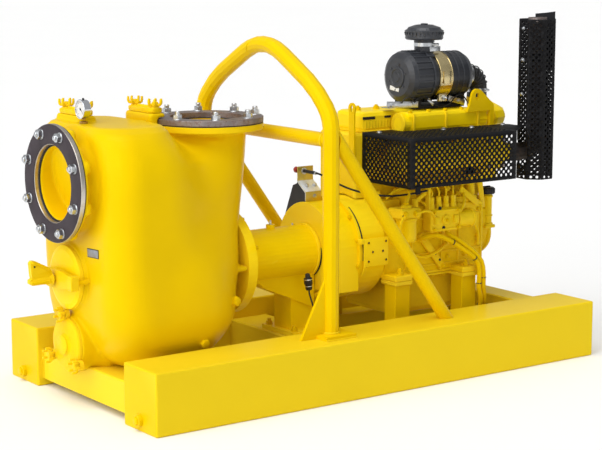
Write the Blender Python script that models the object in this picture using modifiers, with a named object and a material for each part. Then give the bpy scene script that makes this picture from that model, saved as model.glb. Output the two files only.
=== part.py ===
"""Skid-mounted self-priming pump with its diesel engine.

Metres, Z up, X along the shaft with the suction end at -X.
"""
import math

import bmesh
import bpy
from mathutils import Matrix, Vector

# Driving dimensions. Lengths along the skid are given from its front end and moved to the middle by at().
MID = 0.761                 # from the skid's front end to the origin
GAP = 0.0003                # between pieces that touch
SKID_L, SKID_W = 1.656, 0.871
BEAM_W, BEAM_H = 0.176, 0.180
BEAM_Y = (SKID_W - BEAM_W) / 2
SHAFT_Z = 0.374
FLANGE_R, FLANGE_T = 0.170, 0.019    # nominal 200 mm counter flanges
NECK_BORE = 0.1108
BOLT_R = 0.1475                      # bolt circle of the port flanges
SUCTION_X, SUCTION_Z = -0.0736, 0.657
OUT_X, OUT_Z = 0.4494, 0.820
CASE_TOP = 0.8195
TUBE_R, BRACE_R = 0.0250, 0.0215     # lifting bail and its braces
BAIL_X, BAIL_Y, BAIL_TOP, BAR_Z = 0.658, 0.3425, 1.026, 0.762
DRUM_R = 0.162
SHEET = 0.003
STACK_X, STACK_Y, STACK_FLAT = 1.604, -0.200, 0.0585
CLEANER_Z, CLEANER_R = 0.901, 0.077    # body of the air cleaner

for old in list(bpy.data.objects):
    bpy.data.objects.remove(old, do_unlink=True)


def collection(name):
    made = bpy.data.collections.new(name)
    bpy.context.scene.collection.children.link(made)
    return made


PART = collection("engine_driven_pump")
CUTTERS = collection("cutters")


def material(name, colour, rough, metal=0.0):
    made = bpy.data.materials.new(name)
    made.use_nodes = True
    shader = made.node_tree.nodes["Principled BSDF"]
    shader.inputs["Base Color"].default_value = (*colour, 1.0)
    shader.inputs["Roughness"].default_value = rough
    shader.inputs["Metallic"].default_value = metal
    return made


YELLOW = material("yellow_paint", (0.90, 0.66, 0.005), 0.35)
RUBBER = material("flange_face", (0.035, 0.030, 0.032), 0.60)
RUSTED = material("bare_steel", (0.30, 0.26, 0.24), 0.55, 0.9)
ZINC = material("zinc", (0.55, 0.57, 0.60), 0.35, 1.0)
PASSIVATED = material("yellow_zinc", (0.55, 0.45, 0.20), 0.40, 1.0)
BLACK = material("black_steel", (0.015, 0.015, 0.018), 0.45)
PLASTIC = material("black_plastic", (0.02, 0.02, 0.022), 0.50)
BRASS = material("gilt_band", (0.60, 0.48, 0.20), 0.30, 1.0)
CHROME = material("chrome", (0.70, 0.70, 0.72), 0.15, 1.0)
RED = material("red_plastic", (0.45, 0.03, 0.02), 0.40)


def at(x, y, z):
    return Vector((x - MID, y, z))


def keep(obj, name, mat, where=None):
    """Name an object, colour it and put it in its collection."""
    for c in list(obj.users_collection):
        c.objects.unlink(obj)
    (where or PART).objects.link(obj)
    obj.name = name
    if mat and obj.data:
        obj.data.name = name
        obj.data.materials.clear()
        obj.data.materials.append(mat)
    return obj


def guide(obj, name="cutter"):
    keep(obj, name, None, CUTTERS)
    obj.hide_render = True
    obj.display_type = 'WIRE'
    return obj


def from_bmesh(bm, smooth=True):
    bmesh.ops.recalc_face_normals(bm, faces=bm.faces)
    mesh = bpy.data.meshes.new("m")
    bm.to_mesh(mesh)
    bm.free()
    if smooth:
        mesh.shade_smooth()
        mesh.set_sharp_from_angle(angle=math.radians(32))
    obj = bpy.data.objects.new("m", mesh)
    bpy.context.scene.collection.objects.link(obj)
    return obj


def box(x0, x1, y0, y1, z0, z1, bevel=0.0, segments=1):
    """A block between two corners, with its edges rounded if bevel is given."""
    bm = bmesh.new()
    bmesh.ops.create_cube(bm, size=1.0)
    bmesh.ops.scale(bm, vec=(x1 - x0, y1 - y0, z1 - z0), verts=bm.verts)
    bmesh.ops.translate(bm, vec=at((x0 + x1) / 2, (y0 + y1) / 2, (z0 + z1) / 2), verts=bm.verts)
    if bevel:
        bmesh.ops.bevel(bm, geom=bm.edges[:], offset=bevel, offset_type='OFFSET', segments=segments,
                        profile=0.5, affect='EDGES')
    return from_bmesh(bm)


def rod(p0, p1, r0, r1=None, sides=24, turn=0.0):
    """A cylinder or cone between two points."""
    a, b = at(*p0), at(*p1)
    bm = bmesh.new()
    bmesh.ops.create_cone(bm, cap_ends=True, segments=sides, radius1=r0, radius2=r0 if r1 is None else r1,
                          depth=(b - a).length)
    spin = (b - a).to_track_quat('Z', 'Y').to_matrix().to_4x4()
    bmesh.ops.transform(bm, verts=bm.verts,
                        matrix=Matrix.Translation((a + b) / 2) @ spin @ Matrix.Rotation(turn, 4, 'Z'))
    return from_bmesh(bm)


def turned(profile, centre, axis='Z', steps=32):
    """Screw a closed (radius, height) profile about an axis through centre; height runs along the axis."""
    mesh = bpy.data.meshes.new("profile")
    verts = [(r, 0.0, h) for r, h in profile]
    mesh.from_pydata(verts, [(i, i + 1) for i in range(len(verts) - 1)], [])
    obj = bpy.data.objects.new("turned", mesh)
    bpy.context.scene.collection.objects.link(obj)
    screw = obj.modifiers.new("turn", 'SCREW')
    screw.axis = 'Z'
    screw.steps = screw.render_steps = steps
    screw.use_merge_vertices = True
    screw.merge_threshold = 0.00005
    screw.use_smooth_shade = True
    if axis == 'X':
        obj.rotation_euler = (0.0, math.radians(90), 0.0)
    elif axis == '-X':
        obj.rotation_euler = (0.0, math.radians(-90), 0.0)
    elif axis == 'Y':
        obj.rotation_euler = (math.radians(-90), 0.0, 0.0)
    obj.location = at(*centre)
    bpy.context.view_layer.update()
    return obj


def as_mesh(obj):
    """Replace a curve or a modified object by its welded mesh."""
    seen = obj.evaluated_get(bpy.context.evaluated_depsgraph_get())
    mesh = bpy.data.meshes.new_from_object(seen)
    bm = bmesh.new()
    bm.from_mesh(mesh)
    bmesh.ops.remove_doubles(bm, verts=bm.verts, dist=0.00001)
    bmesh.ops.recalc_face_normals(bm, faces=bm.faces)
    bm.to_mesh(mesh)
    bm.free()
    mesh.shade_smooth()
    mesh.set_sharp_from_angle(angle=math.radians(32))
    made = bpy.data.objects.new("m", mesh)
    made.matrix_world = obj.matrix_world
    bpy.context.scene.collection.objects.link(made)
    bpy.data.objects.remove(obj, do_unlink=True)
    return made


def tube(points, radius, resolution=4):
    """A bent tube along a poly line."""
    curve = bpy.data.curves.new("tube", 'CURVE')
    curve.dimensions = '3D'
    curve.bevel_depth = radius
    curve.bevel_resolution = resolution
    curve.use_fill_caps = True
    line = curve.splines.new('POLY')
    line.points.add(len(points) - 1)
    for knot, p in zip(line.points, points):
        knot.co = (*at(*p), 1.0)
    obj = bpy.data.objects.new("tube", curve)
    bpy.context.scene.collection.objects.link(obj)
    bpy.context.view_layer.update()
    return as_mesh(obj)


def outline(points, thick, place):
    """A flat outline extruded to a plate; place takes the outline's plane to the world."""
    curve = bpy.data.curves.new("outline", 'CURVE')
    curve.dimensions = '2D'
    curve.fill_mode = 'BOTH'
    curve.extrude = thick / 2
    line = curve.splines.new('POLY')
    line.points.add(len(points) - 1)
    for knot, (u, v) in zip(line.points, points):
        knot.co = (u, v, 0.0, 1.0)
    line.use_cyclic_u = True
    obj = bpy.data.objects.new("outline", curve)
    obj.matrix_world = place
    bpy.context.scene.collection.objects.link(obj)
    bpy.context.view_layer.update()
    return as_mesh(obj)


def plane_x(x):
    """Outline u, v to Y, Z at a station along the shaft."""
    return Matrix(((0, 0, 1, x - MID), (1, 0, 0, 0), (0, 1, 0, 0), (0, 0, 0, 1)))


def plane_y(y):
    """Outline u, v to X, Z at a distance from the centre plane."""
    return Matrix(((1, 0, 0, -MID), (0, 0, -1, y), (0, 1, 0, 0), (0, 0, 0, 1)))


def plane_z(z):
    """Outline u, v to X, Y at a height."""
    return Matrix(((1, 0, 0, -MID), (0, 1, 0, 0), (0, 0, 1, z), (0, 0, 0, 1)))


def arc(cx, cy, r, a0, a1, n):
    return [(cx + r * math.cos(math.radians(a0 + (a1 - a0) * k / n)),
             cy + r * math.sin(math.radians(a0 + (a1 - a0) * k / n))) for k in range(n + 1)]


def loft(sections):
    """Skin a stack of plans, each (height, points)."""
    bm = bmesh.new()
    rings = [[bm.verts.new(at(x, y, z)) for x, y in plan] for z, plan in sections]
    for low, high in zip(rings, rings[1:]):
        n = len(low)
        for i in range(n):
            bm.faces.new((low[i], low[(i + 1) % n], high[(i + 1) % n], high[i]))
    bm.faces.new(rings[0][::-1])
    bm.faces.new(rings[-1])
    return from_bmesh(bm)


def combine(name, mat, solids, cuts=()):
    """Unite solids and take the cuts out of them, as Boolean modifiers on the first."""
    base = keep(solids[0], name, mat)
    for kind, others in (('UNION', solids[1:]), ('DIFFERENCE', cuts)):
        for other in others:
            step = base.modifiers.new(kind.lower(), 'BOOLEAN')
            step.operation = kind
            step.solver = 'EXACT'
            step.object = guide(other)
    return base


# Skid: two box beams with end plates, and cross members between them.
for side, sign in (("near", -1), ("far", 1)):
    y = sign * BEAM_Y
    beam = box(0.0, SKID_L, y - BEAM_W / 2, y + BEAM_W / 2, 0.0, BEAM_H, bevel=0.005, segments=2)
    plug = rod((-0.012, y, 0.032), (0.02, y, 0.032), 0.017, sides=20)
    combine(f"{side}_skid_beam", YELLOW, [beam, plug])
INNER = SKID_W / 2 - BEAM_W - GAP
CROSS = {"front": (0.020, 0.150, 0.115), "casing": (0.340, 0.430, 0.115), "bearing": (0.700, 0.840, 0.120),
         "rear": (1.530, 1.620, 0.160)}
for place, (x0, x1, top) in CROSS.items():
    keep(box(x0, x1, -INNER, INNER, 0.020, top - GAP, bevel=0.004, segments=1), f"{place}_cross_member",
         YELLOW)

# Pump casing: a wide front chamber that runs softly into a body which narrows upward to the discharge neck.
# Chamber rows: height, front, rear, half width, front radius, rear radius. Neck rows: height, centre, radius.
CHAMBER = ((0.115, 0.100, 0.345, 0.155, 0.10, 0.12), (0.130, 0.072, 0.370, 0.183, 0.12, 0.13),
           (0.150, 0.050, 0.393, 0.205, 0.13, 0.14), (0.200, 0.020, 0.430, 0.236, 0.13, 0.15),
           (0.250, 0.004, 0.447, 0.248, 0.12, 0.15), (0.330, -0.005, 0.425, 0.250, 0.11, 0.130),
           (0.400, -0.005, 0.392, 0.250, 0.10, 0.135), (0.475, -0.005, 0.360, 0.250, 0.095, 0.155),
           (0.545, -0.005, 0.345, 0.250, 0.095, 0.175), (0.600, -0.005, 0.334, 0.250, 0.095, 0.190),
           (0.655, -0.005, 0.322, 0.250, 0.095, 0.195), (0.700, -0.005, 0.308, 0.250, 0.095, 0.190),
           (0.730, -0.005, 0.292, 0.250, 0.095, 0.180), (0.758, -0.005, 0.272, 0.249, 0.095, 0.160),
           (0.785, -0.004, 0.253, 0.245, 0.092, 0.130), (0.800, 0.000, 0.244, 0.239, 0.090, 0.110),
           (0.811, 0.006, 0.235, 0.230, 0.085, 0.092), (0.817, 0.014, 0.227, 0.220, 0.080, 0.080),
           (CASE_TOP, 0.024, 0.218, 0.207, 0.072, 0.072))
NECK = ((0.115, 0.240, 0.10), (0.230, 0.250, 0.225), (0.310, 0.256, 0.245), (0.400, 0.272, 0.240),
        (0.475, 0.313, 0.205), (0.550, 0.360, 0.172), (0.650, 0.402, 0.148), (0.740, 0.437, 0.126),
        (0.790, OUT_X, 0.118))
NEAR_LEAN = 2.3
NECK_TOP = 0.788
BLEND = ((0.0, 0.030), (0.40, 0.035), (0.50, 0.070), (0.60, 0.130), (0.70, 0.150), (0.80, 0.120))
CORE_X = 0.215                         # the casing's plans are drawn round this station


def follow(table, z):
    """The row of a table at height z, on smooth curves through its rows."""
    if z <= table[0][0]:
        return table[0][1:]
    if z >= table[-1][0]:
        return table[-1][1:]
    i = max(k for k in range(len(table) - 1) if table[k][0] <= z)
    a, b = table[i], table[i + 1]
    before, after = table[max(i - 1, 0)], table[min(i + 2, len(table) - 1)]
    span = b[0] - a[0]
    t = (z - a[0]) / span
    row = []
    for c in range(1, len(a)):
        m0 = (b[c] - before[c]) / (b[0] - before[0]) * span
        m1 = (after[c] - a[c]) / (after[0] - a[0]) * span
        row.append((2 * t ** 3 - 3 * t * t + 1) * a[c] + (t ** 3 - 2 * t * t + t) * m0
                   + (3 * t * t - 2 * t ** 3) * b[c] + (t ** 3 - t * t) * m1)
    return row


def casing_distance(x, y, z):
    """Distance in plan from the casing's wall at height z, negative inside."""
    side = y
    x0, x1, half, front_r, rear_r = follow(CHAMBER, z)
    x0, half = max(x0, -0.005), min(half, 0.250)
    if y < 0:                          # the near side leans in towards the top
        y -= NEAR_LEAN * max(0.0, z - 0.66) ** 2
    mid = (x0 + x1) / 2
    r = min(rear_r if x > mid else front_r, half - 0.0005, (x1 - x0) / 2 - 0.0005)
    qx, qy = abs(x - mid) - (x1 - x0) / 2 + r, abs(y) - half + r
    box_d = math.hypot(max(qx, 0), max(qy, 0)) + min(max(qx, qy), 0) - r
    if z > NECK_TOP:
        return box_d
    cx, radius = follow(NECK, z)
    cone_d = math.hypot(x - cx, side) - radius
    blend = follow(BLEND, z)[0]
    share = max(0.0, min(1.0, 0.5 + 0.5 * (cone_d - box_d) / blend))
    return cone_d + (box_d - cone_d) * share - blend * share * (1 - share)


def casing_plan(z, directions):
    """Points round the casing's wall at height z, one in each direction from its core."""
    plan = []
    for a in directions:
        low, high = 0.02, 0.60
        for _ in range(24):
            t = (low + high) / 2
            if casing_distance(CORE_X + t * math.cos(a), t * math.sin(a), z) < 0:
                low = t
            else:
                high = t
        plan.append((CORE_X + low * math.cos(a), low * math.sin(a)))
    return plan


HAND_Y, HAND_Z = 0.025, 0.378
CLEAN_Y, CLEAN_Z = 0.030, 0.178
TURNS = [math.radians(a) for a in (0, 6, 12, 18, 24, 30, 36, 43, 50, 58, 66, 75, 85, 95, 105, 115, 124,
                                   131, 137,
                                   143, 150, 160, 171)]
TURNS = TURNS + [math.pi] + [2 * math.pi - a for a in TURNS[:0:-1]]
LEVELS = (0.115, 0.122, 0.130, 0.142, 0.160, 0.185, 0.215, 0.250, 0.290, 0.330, 0.370, 0.410, 0.450, 0.490,
          0.530, 0.570, 0.610, 0.650, 0.690, 0.725, 0.755, 0.775, NECK_TOP, NECK_TOP + 0.001, 0.800, 0.809,
          0.815, 0.818, CASE_TOP)
chamber = loft([(z, casing_plan(z, TURNS)) for z in LEVELS])
SEAT_X = SUCTION_X + FLANGE_T + GAP
LIDS = {"front": (0.072, 0.117, 0.058, 0.79), "rear": (0.277, 0.069, 0.0575, 0.75)}
solids = [chamber,
          rod((OUT_X, 0, 0.782), (OUT_X, 0, OUT_Z - FLANGE_T - GAP), FLANGE_R, sides=48),
          rod((SEAT_X, 0, SUCTION_Z), (SEAT_X + 0.009, 0, SUCTION_Z), 0.166, sides=48),
          rod((SEAT_X + 0.01, 0, SUCTION_Z), (0.06, 0, SUCTION_Z), 0.128, sides=40),
          rod((-0.014, HAND_Y, HAND_Z), (0.04, HAND_Y, HAND_Z), 0.098, sides=36),
          rod((-0.014, CLEAN_Y, CLEAN_Z), (0.10, CLEAN_Y, CLEAN_Z), 0.084, sides=36)]
for k in range(8):
    a = math.radians(22.5 + 45 * k)
    y, z = BOLT_R * math.cos(a), SUCTION_Z + BOLT_R * math.sin(a)
    solids.append(rod((SEAT_X + 0.004, y, z), (SEAT_X + 0.022, y * 0.98, z), 0.0225, 0.019, sides=12))
solids += [box(x - 0.027, x + 0.027, y - reach - 0.018, y + reach + 0.018, low, 0.8377, bevel=0.010,
               segments=2)
           for x, y, reach, low in LIDS.values()]
solids += [box(0.40, 0.489, s * 0.125 - 0.035, s * 0.125 + 0.035, SHAFT_Z - 0.008,
               SHAFT_Z + 0.008) for s in (-1, 1)]
flap = rod((-0.10, 0, SUCTION_Z), (0.0, 0, SUCTION_Z), 0.104, sides=40)
for corner in flap.data.vertices:        # the suction bore ends on the slanting seat of its flap valve
    if corner.co.x > -0.05 - MID:
        corner.co.x = SUCTION_X - MID + 0.0635 - 0.262 * (corner.co.z - SUCTION_Z)
cuts = [flap, rod((OUT_X, 0, 0.70), (OUT_X, 0, 0.86), 0.104, sides=40),
        rod((OUT_X, 0, OUT_Z - FLANGE_T - GAP), (OUT_X, 0, 0.8235), FLANGE_R + 0.005, sides=48),
        rod((0.491, 0, SHAFT_Z), (0.60, 0, SHAFT_Z), 0.166, sides=48),
        box(0.0197, 0.1503, -0.270, 0.270, 0.0, 0.115)]
combine("pump_casing", YELLOW, solids, cuts)

# Counter flanges that the pipes bolt to.
combine("suction_flange", RUBBER, [rod((SUCTION_X, 0, SUCTION_Z), (SUCTION_X + FLANGE_T, 0, SUCTION_Z),
                                       FLANGE_R,
                                       sides=48)],
        [rod((SUCTION_X - 0.01, 0, SUCTION_Z), (SUCTION_X + 0.03, 0, SUCTION_Z), NECK_BORE, sides=40)])
combine("discharge_flange", RUSTED, [rod((OUT_X, 0, OUT_Z - FLANGE_T), (OUT_X, 0, OUT_Z), FLANGE_R,
                                         sides=48)],
        [rod((OUT_X, 0, OUT_Z - 0.03), (OUT_X, 0, OUT_Z + 0.01), NECK_BORE, sides=40)])

# Hand hole on the front: round cover, yoke across it, and the screw that a lobed handle turns.
combine("hand_hole_cover", YELLOW,
        [turned([(0, 0.020), (0.040, 0.019), (0.080, 0.015), (0.093, 0.010), (0.094, 0.0), (0, 0)],
                (-0.0143, HAND_Y, HAND_Z), '-X', 36)])
yoke_tilt = math.radians(1)
yoke = outline([(-0.100, -0.016), (-0.070, -0.022), (-0.035, -0.027), (0.035, -0.027), (0.075, -0.021),
                (0.105, -0.012), (0.105, 0.012), (0.075, 0.021), (0.035, 0.027), (-0.035, 0.027),
                (-0.070, 0.022), (-0.100, 0.016)], 0.016,
               plane_x(-0.0530) @ Matrix.Translation((HAND_Y, HAND_Z, 0)) @ Matrix.Rotation(-yoke_tilt,
                                                                                            4, 'Z'))


def on_yoke(u, v=0.0):
    return (HAND_Y + u * math.cos(yoke_tilt) + v * math.sin(yoke_tilt),
            HAND_Z - u * math.sin(yoke_tilt) + v * math.cos(yoke_tilt))


lugs = []
for u in (-0.107, 0.096):
    y, z = on_yoke(u)
    lugs.append(rod((-0.060, y, z), (-0.0053, y, z), 0.0075, sides=16))
    lugs.append(box(-0.069, -0.043, y - 0.012, y + 0.012, z - 0.021, z + 0.021, bevel=0.002))
combine("hand_hole_yoke", YELLOW, [yoke] + lugs,
        [rod((-0.10, HAND_Y, HAND_Z), (0.0, HAND_Y, HAND_Z), 0.0098, sides=20),
         rod((-0.0383, HAND_Y, HAND_Z), (0.06, HAND_Y, HAND_Z), 0.1005, sides=36)])
handle = outline([(-0.1405, 0.371), (-0.1405, 0.381), (-0.1330, 0.386), (-0.1350, 0.394), (-0.1380, 0.430),
                  (-0.1330, 0.437), (-0.1220, 0.436), (-0.0800, 0.414), (-0.0715, 0.402), (-0.0715, 0.366),
                  (-0.1330, 0.366)], 0.018, plane_y(HAND_Y))
combine("hand_hole_screw", YELLOW,
        [handle, rod((-0.130, HAND_Y, HAND_Z), (-0.067, HAND_Y, HAND_Z), 0.0125, 0.0145, sides=20),
         rod((-0.07, HAND_Y, HAND_Z), (-0.0346, HAND_Y, HAND_Z), 0.0090, sides=20)])


# Star knobs: a crown of six prongs on a hub, on a stud that holds each cover down.
def star(centre, along, radius=0.021, height=0.017):
    """Outline of a star knob, as solids; along is +1 for up, -1 for a knob that faces -X."""
    x, y, z = centre
    spread = [((radius if k % 2 else radius * 0.60) * math.cos(math.radians(15 + 30 * k)),
               (radius if k % 2 else radius * 0.60) * math.sin(math.radians(15 + 30 * k))) for k in range(12)]
    if along > 0:
        head = outline(spread, 0.010, plane_z(z + height) @ Matrix.Translation((x, y, 0)))
        return [head, rod((x, y, z - 0.004), (x, y, z + height), 0.0105, sides=14)]
    head = outline(spread, 0.010, plane_x(x - height) @ Matrix.Translation((y, z, 0)))
    return [head, rod((x + 0.004, y, z), (x - height, y, z), 0.0105, sides=14)]


CLEAN_KNOBS = [(CLEAN_Y + 0.090 * math.cos(math.radians(a)), CLEAN_Z + 0.090 * math.sin(math.radians(a)))
               for a in (88, 212, 330)]
solids = [turned([(0, 0.022), (0.030, 0.022), (0.034, 0.016), (0.074, 0.014), (0.080, 0.008), (0.081,
                                                                                               0.0), (0, 0)],
                 (-0.0143, CLEAN_Y, CLEAN_Z), '-X', 36)]
for y, z in CLEAN_KNOBS:
    solids.append(rod((-0.0143, y, z), (-0.028, y, z), 0.0145, sides=16))
    solids += star((-0.028, y, z), -1)
combine("cleanout_cover", YELLOW, solids)

for place, (x, y, reach, _) in LIDS.items():
    solids = [box(x - 0.022, x + 0.022, y - reach - 0.014, y + reach + 0.014, 0.838, 0.852, bevel=0.004)]
    for s in (-1, 1):
        solids += star((x, y + s * reach, 0.852), 1)
    combine(f"{place}_filler_lid", YELLOW, solids)

# Pressure gauge on a stem from the chamber's top.
GAUGE = (0.0425, 0.018, 0.861)
combine("pressure_gauge", CHROME,
        [turned([(0, 0.026), (0.025, 0.026), (0.0285, 0.023), (0.0285, 0.004), (0.025, 0.0), (0, 0)],
                (GAUGE[0] + 0.0135, GAUGE[1], GAUGE[2]), '-X', 24),
         rod((GAUGE[0], GAUGE[1], CASE_TOP + GAP), (GAUGE[0], GAUGE[1], GAUGE[2] - 0.02), 0.0065, sides=10),
         rod((GAUGE[0], GAUGE[1], CASE_TOP + GAP), (GAUGE[0], GAUGE[1], CASE_TOP + 0.007), 0.011, sides=6)])

# Bearing bracket: flange on the casing, round housing, and a wedge foot down to its cross member.
web = outline([(0.560, 0.330), (0.628, 0.278), (0.812, 0.198), (0.812, 0.330)], 0.100, plane_y(0.0))
combine("bearing_bracket", YELLOW,
        [rod((0.4913, 0, SHAFT_Z), (0.523, 0, SHAFT_Z), 0.162, sides=48),
         rod((0.520, 0, SHAFT_Z), (0.8146, 0, SHAFT_Z), 0.0825, sides=40),
         rod((0.680, 0, SHAFT_Z + 0.06), (0.680, 0, SHAFT_Z + 0.094), 0.014, sides=12),
         web, box(0.726, 0.8118, -0.045, 0.045, 0.130, 0.260),
         box(0.706, 0.832, -0.085, 0.085, 0.120, 0.135)])

# Bell housing over the coupling: round top, flat sides and an open bottom.
def arch(r, low, n=20):
    return [(-r, low), (r, low)] + arc(0.0, SHAFT_Z, r, 0, 180, n)


bell = [outline(arch(0.150, 0.256), 0.0945, plane_x(0.8623)),
        rod((0.9075, 0, SHAFT_Z), (0.9195, 0, SHAFT_Z), DRUM_R, sides=48)]
combine("bell_housing", YELLOW, bell,
        [outline(arch(0.138, 0.20), 0.120, plane_x(0.8875)),
         box(0.80, 0.84, -0.045, 0.045, 0.20, 0.335)])
combine("coupling", PLASTIC,
        [rod((0.8278, 0, SHAFT_Z), (0.9195, 0, SHAFT_Z), 0.034, sides=20),
         rod((0.842, 0, SHAFT_Z), (0.870, 0, SHAFT_Z), 0.095, sides=28),
         rod((0.884, 0, SHAFT_Z), (0.912, 0, SHAFT_Z), 0.110, sides=28)],
        ())

# Flywheel housing with the flat cover plate on its near side.
combine("flywheel_housing", YELLOW,
        [rod((0.9198, 0, SHAFT_Z), (1.0095, 0, SHAFT_Z), DRUM_R, sides=48),
         box(0.927, 1.004, -0.170, -0.10, 0.338, 0.414, bevel=0.004),
         box(0.935, 1.0095, -0.05, 0.20, 0.235, 0.29)])

# Engine: crankcase with its feet, cylinder block and head in one casting.
FEET = (1.0445, 1.320)
solids = [box(1.0098, 1.428, -0.150, 0.150, 0.2793, 0.500, bevel=0.006),
          box(0.965, 1.428, -0.055, 0.130, 0.480, 0.7347, bevel=0.006)]
for x in FEET:
    for s in (-1, 1):
        solids.append(box(x - 0.034, x + 0.034, *sorted((s * 0.14, s * 0.213)), 0.2793, 0.298, bevel=0.003))
combine("engine_block", YELLOW, solids,
        [rod((0.95, 0, SHAFT_Z), (1.0098, 0, SHAFT_Z), DRUM_R + 0.004, sides=48)])
keep(box(1.060, 1.410, -0.125, 0.125, 0.150, 0.2790, bevel=0.020, segments=2), "oil_sump", YELLOW)
keep(box(1.010, 1.438, -0.038, 0.105, 0.7350, 0.800, bevel=0.014, segments=2), "rocker_cover", YELLOW)
combine("intake_manifold", YELLOW,
        [box(1.140, 1.479, -0.112, -0.042, 0.7350, 0.796, bevel=0.012, segments=2),
         box(1.15, 1.46, -0.100, -0.0415, 0.7350, 0.748),
         rod((1.119, -0.080, 0.7600), (1.17, -0.080, 0.7600), 0.0325, sides=24),
         tube([(1.44, -0.078, 0.760), (1.515, -0.078, 0.760), (1.538, -0.074, 0.761), (1.550, -0.060, 0.763),
               (1.553, -0.040, 0.767), (1.548, -0.020, 0.776), (1.535, -0.006, 0.789), (1.522, 0.0, 0.804),
               (1.522, 0.0, 0.822)], 0.036, 3)])
combine("timing_cover", YELLOW,
        [outline([(-0.08, 0.320), (-0.05, 0.262), (0.05, 0.262), (0.08, 0.320), (0.115, 0.40), (0.115, 0.50),
                  (0.10, 0.60), (0.10, 0.70), (-0.060, 0.70), (-0.060, 0.50), (-0.112, 0.46), (-0.112,
                                                                                               0.39)], 0.0543,
                 plane_x(1.45545)),
         rod((1.475, 0, 0.369), (1.532, 0, 0.369), 0.073, sides=40),
         rod((1.475, 0, 0.369), (1.540, 0, 0.369), 0.030, sides=20),
         rod((1.484, -0.100, 0.40), (1.484, -0.100, 0.508), 0.0185, sides=20)])
keep(turned([(0, 0.022), (0.023, 0.022), (0.027, 0.018), (0.027, 0.004), (0.025, 0.0), (0, 0)],
            (1.484, -0.100, 0.5083), 'Z', 24), "oil_filler_cap", PLASTIC)
combine("fuel_filter", YELLOW,
        [turned([(0, 0.078), (0.032, 0.078), (0.033, 0.006), (0.027, 0.0), (0, 0)], (1.066, -0.192,
                                                                                     0.401), 'Z', 24),
         box(1.024, 1.104, -0.222, -0.1503, 0.476, 0.510, bevel=0.005)])
combine("injection_pump", YELLOW,
        [box(1.165, 1.285, -0.198, -0.1503, 0.420, 0.495, bevel=0.006),
         rod((1.280, -0.178, 0.452), (1.345, -0.178, 0.452), 0.0275, sides=20)]
        + [rod((x, -0.178, 0.48), (x, -0.178, 0.520), 0.009, sides=10) for x in (1.18, 1.21, 1.24, 1.27)]
        + [box(1.1635, 1.1700, -0.186, -0.168, 0.470, 0.562)])

# Lifting eyes: a strap behind the head, and a plate at the manifold's front end.
EYE_Y, EYE_TOP = -0.047, 0.817
combine("rear_lifting_eye", YELLOW,
        [outline([(EYE_Y - 0.013, 0.640), (EYE_Y + 0.013, 0.640), (EYE_Y + 0.013, 0.795)]
                 + arc(EYE_Y, EYE_TOP, 0.017, -30, 210, 14) + [(EYE_Y - 0.013, 0.795)], 0.006,
                 plane_x(0.9617))],
        [outline(arc(EYE_Y, EYE_TOP + 0.003, 0.006, 0, 180, 8) + arc(EYE_Y, EYE_TOP - 0.008, 0.006, 180,
                                                                     360, 8),
                 0.020, plane_x(0.9617))])
combine("front_lifting_eye", YELLOW,
        [outline([(1.373, 0.788), (1.4723, 0.788), (1.4723, 0.740), (1.488, 0.740), (1.488, 0.806)]
                 + arc(1.417, 0.836, 0.025, 48, 160, 8) + [(1.385, 0.812)], 0.0095, plane_y(-0.1192))],
        [outline(arc(1.416, 0.840, 0.0078, 0, 180, 8) + arc(1.416, 0.832, 0.0078, 180, 360, 8), 0.03,
                 plane_y(-0.1192))])

# Supports: a rail along each side, between cross members, with a post under each engine foot.
for side, s in (("near", -1), ("far", 1)):
    solids = [box(0.8403, 1.5297, *sorted((s * 0.21, s * 0.13)), 0.022, 0.110, bevel=0.003)]
    for x in FEET:
        solids.append(box(x - 0.030, x + 0.030, *sorted((s * 0.205, s * 0.150)), 0.10, 0.268, bevel=0.002))
        solids.append(box(x - 0.034, x + 0.034, *sorted((s * 0.213, s * 0.135)), 0.266, 0.279, bevel=0.002))
    combine(f"{side}_engine_support", YELLOW, solids)

# Air cleaner across the top, on a saddle that stands on the rocker cover.
HOSE_X = 1.522
CLEANER_X, CAP_R = 1.180, 0.083
keep(turned([(0, 0.288), (0.035, 0.288), (0.035, 0.272), (0.058, 0.270), (0.070, 0.262), (CLEANER_R, 0.246),
             (CLEANER_R, 0.102), (CAP_R, 0.098), (CAP_R, 0.022), (0.079, 0.010), (0.062, 0.0), (0, 0)],
            (CLEANER_X, 0.0, CLEANER_Z), 'X', 36), "air_cleaner", PLASTIC)
combine("air_cleaner_band", BRASS,
        [rod((1.296, 0, CLEANER_Z), (1.350, 0, CLEANER_Z), CLEANER_R + 0.0035, sides=36)],
        [rod((1.28, 0, CLEANER_Z), (1.37, 0, CLEANER_Z), CLEANER_R + GAP, sides=36)])
keep(tube([(1.4683, 0, 0.897), (1.480, 0, 0.897), (1.500, 0, 0.890), (1.514, 0, 0.877), (HOSE_X, 0, 0.858),
           (HOSE_X, 0, 0.8223)], 0.034, 4), "air_outlet", PLASTIC)
combine("pre_cleaner", PLASTIC,
        [turned([(0, 0.095), (0.028, 0.095), (0.052, 0.087), (0.0615, 0.073), (0.0615, 0.056), (0.052, 0.050),
                 (0.034, 0.047), (0.031, 0.0), (0, 0)], (1.291, 0.0, 0.972), 'Z', 32),
         rod((1.291, 0, 0.965), (1.291, 0, 0.99), 0.031, sides=32)],
        [rod((1.20, 0, CLEANER_Z), (1.2957, 0, CLEANER_Z), CAP_R + GAP, sides=36),
         rod((1.2956, 0, CLEANER_Z), (1.38, 0, CLEANER_Z), CLEANER_R + 0.0035 + GAP, sides=36)])
combine("air_cleaner_bracket", BLACK, [box(1.215, 1.420, -0.054, 0.054, 0.8003, 0.865)],
        [rod((1.20, 0, CLEANER_Z), (1.2822, 0, CLEANER_Z), CAP_R + GAP, sides=36),
         rod((1.28, 0, CLEANER_Z), (1.48, 0, CLEANER_Z), CLEANER_R + GAP, sides=36),
         box(1.235, 1.400, -0.07, 0.07, 0.810, 0.90)])

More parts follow.
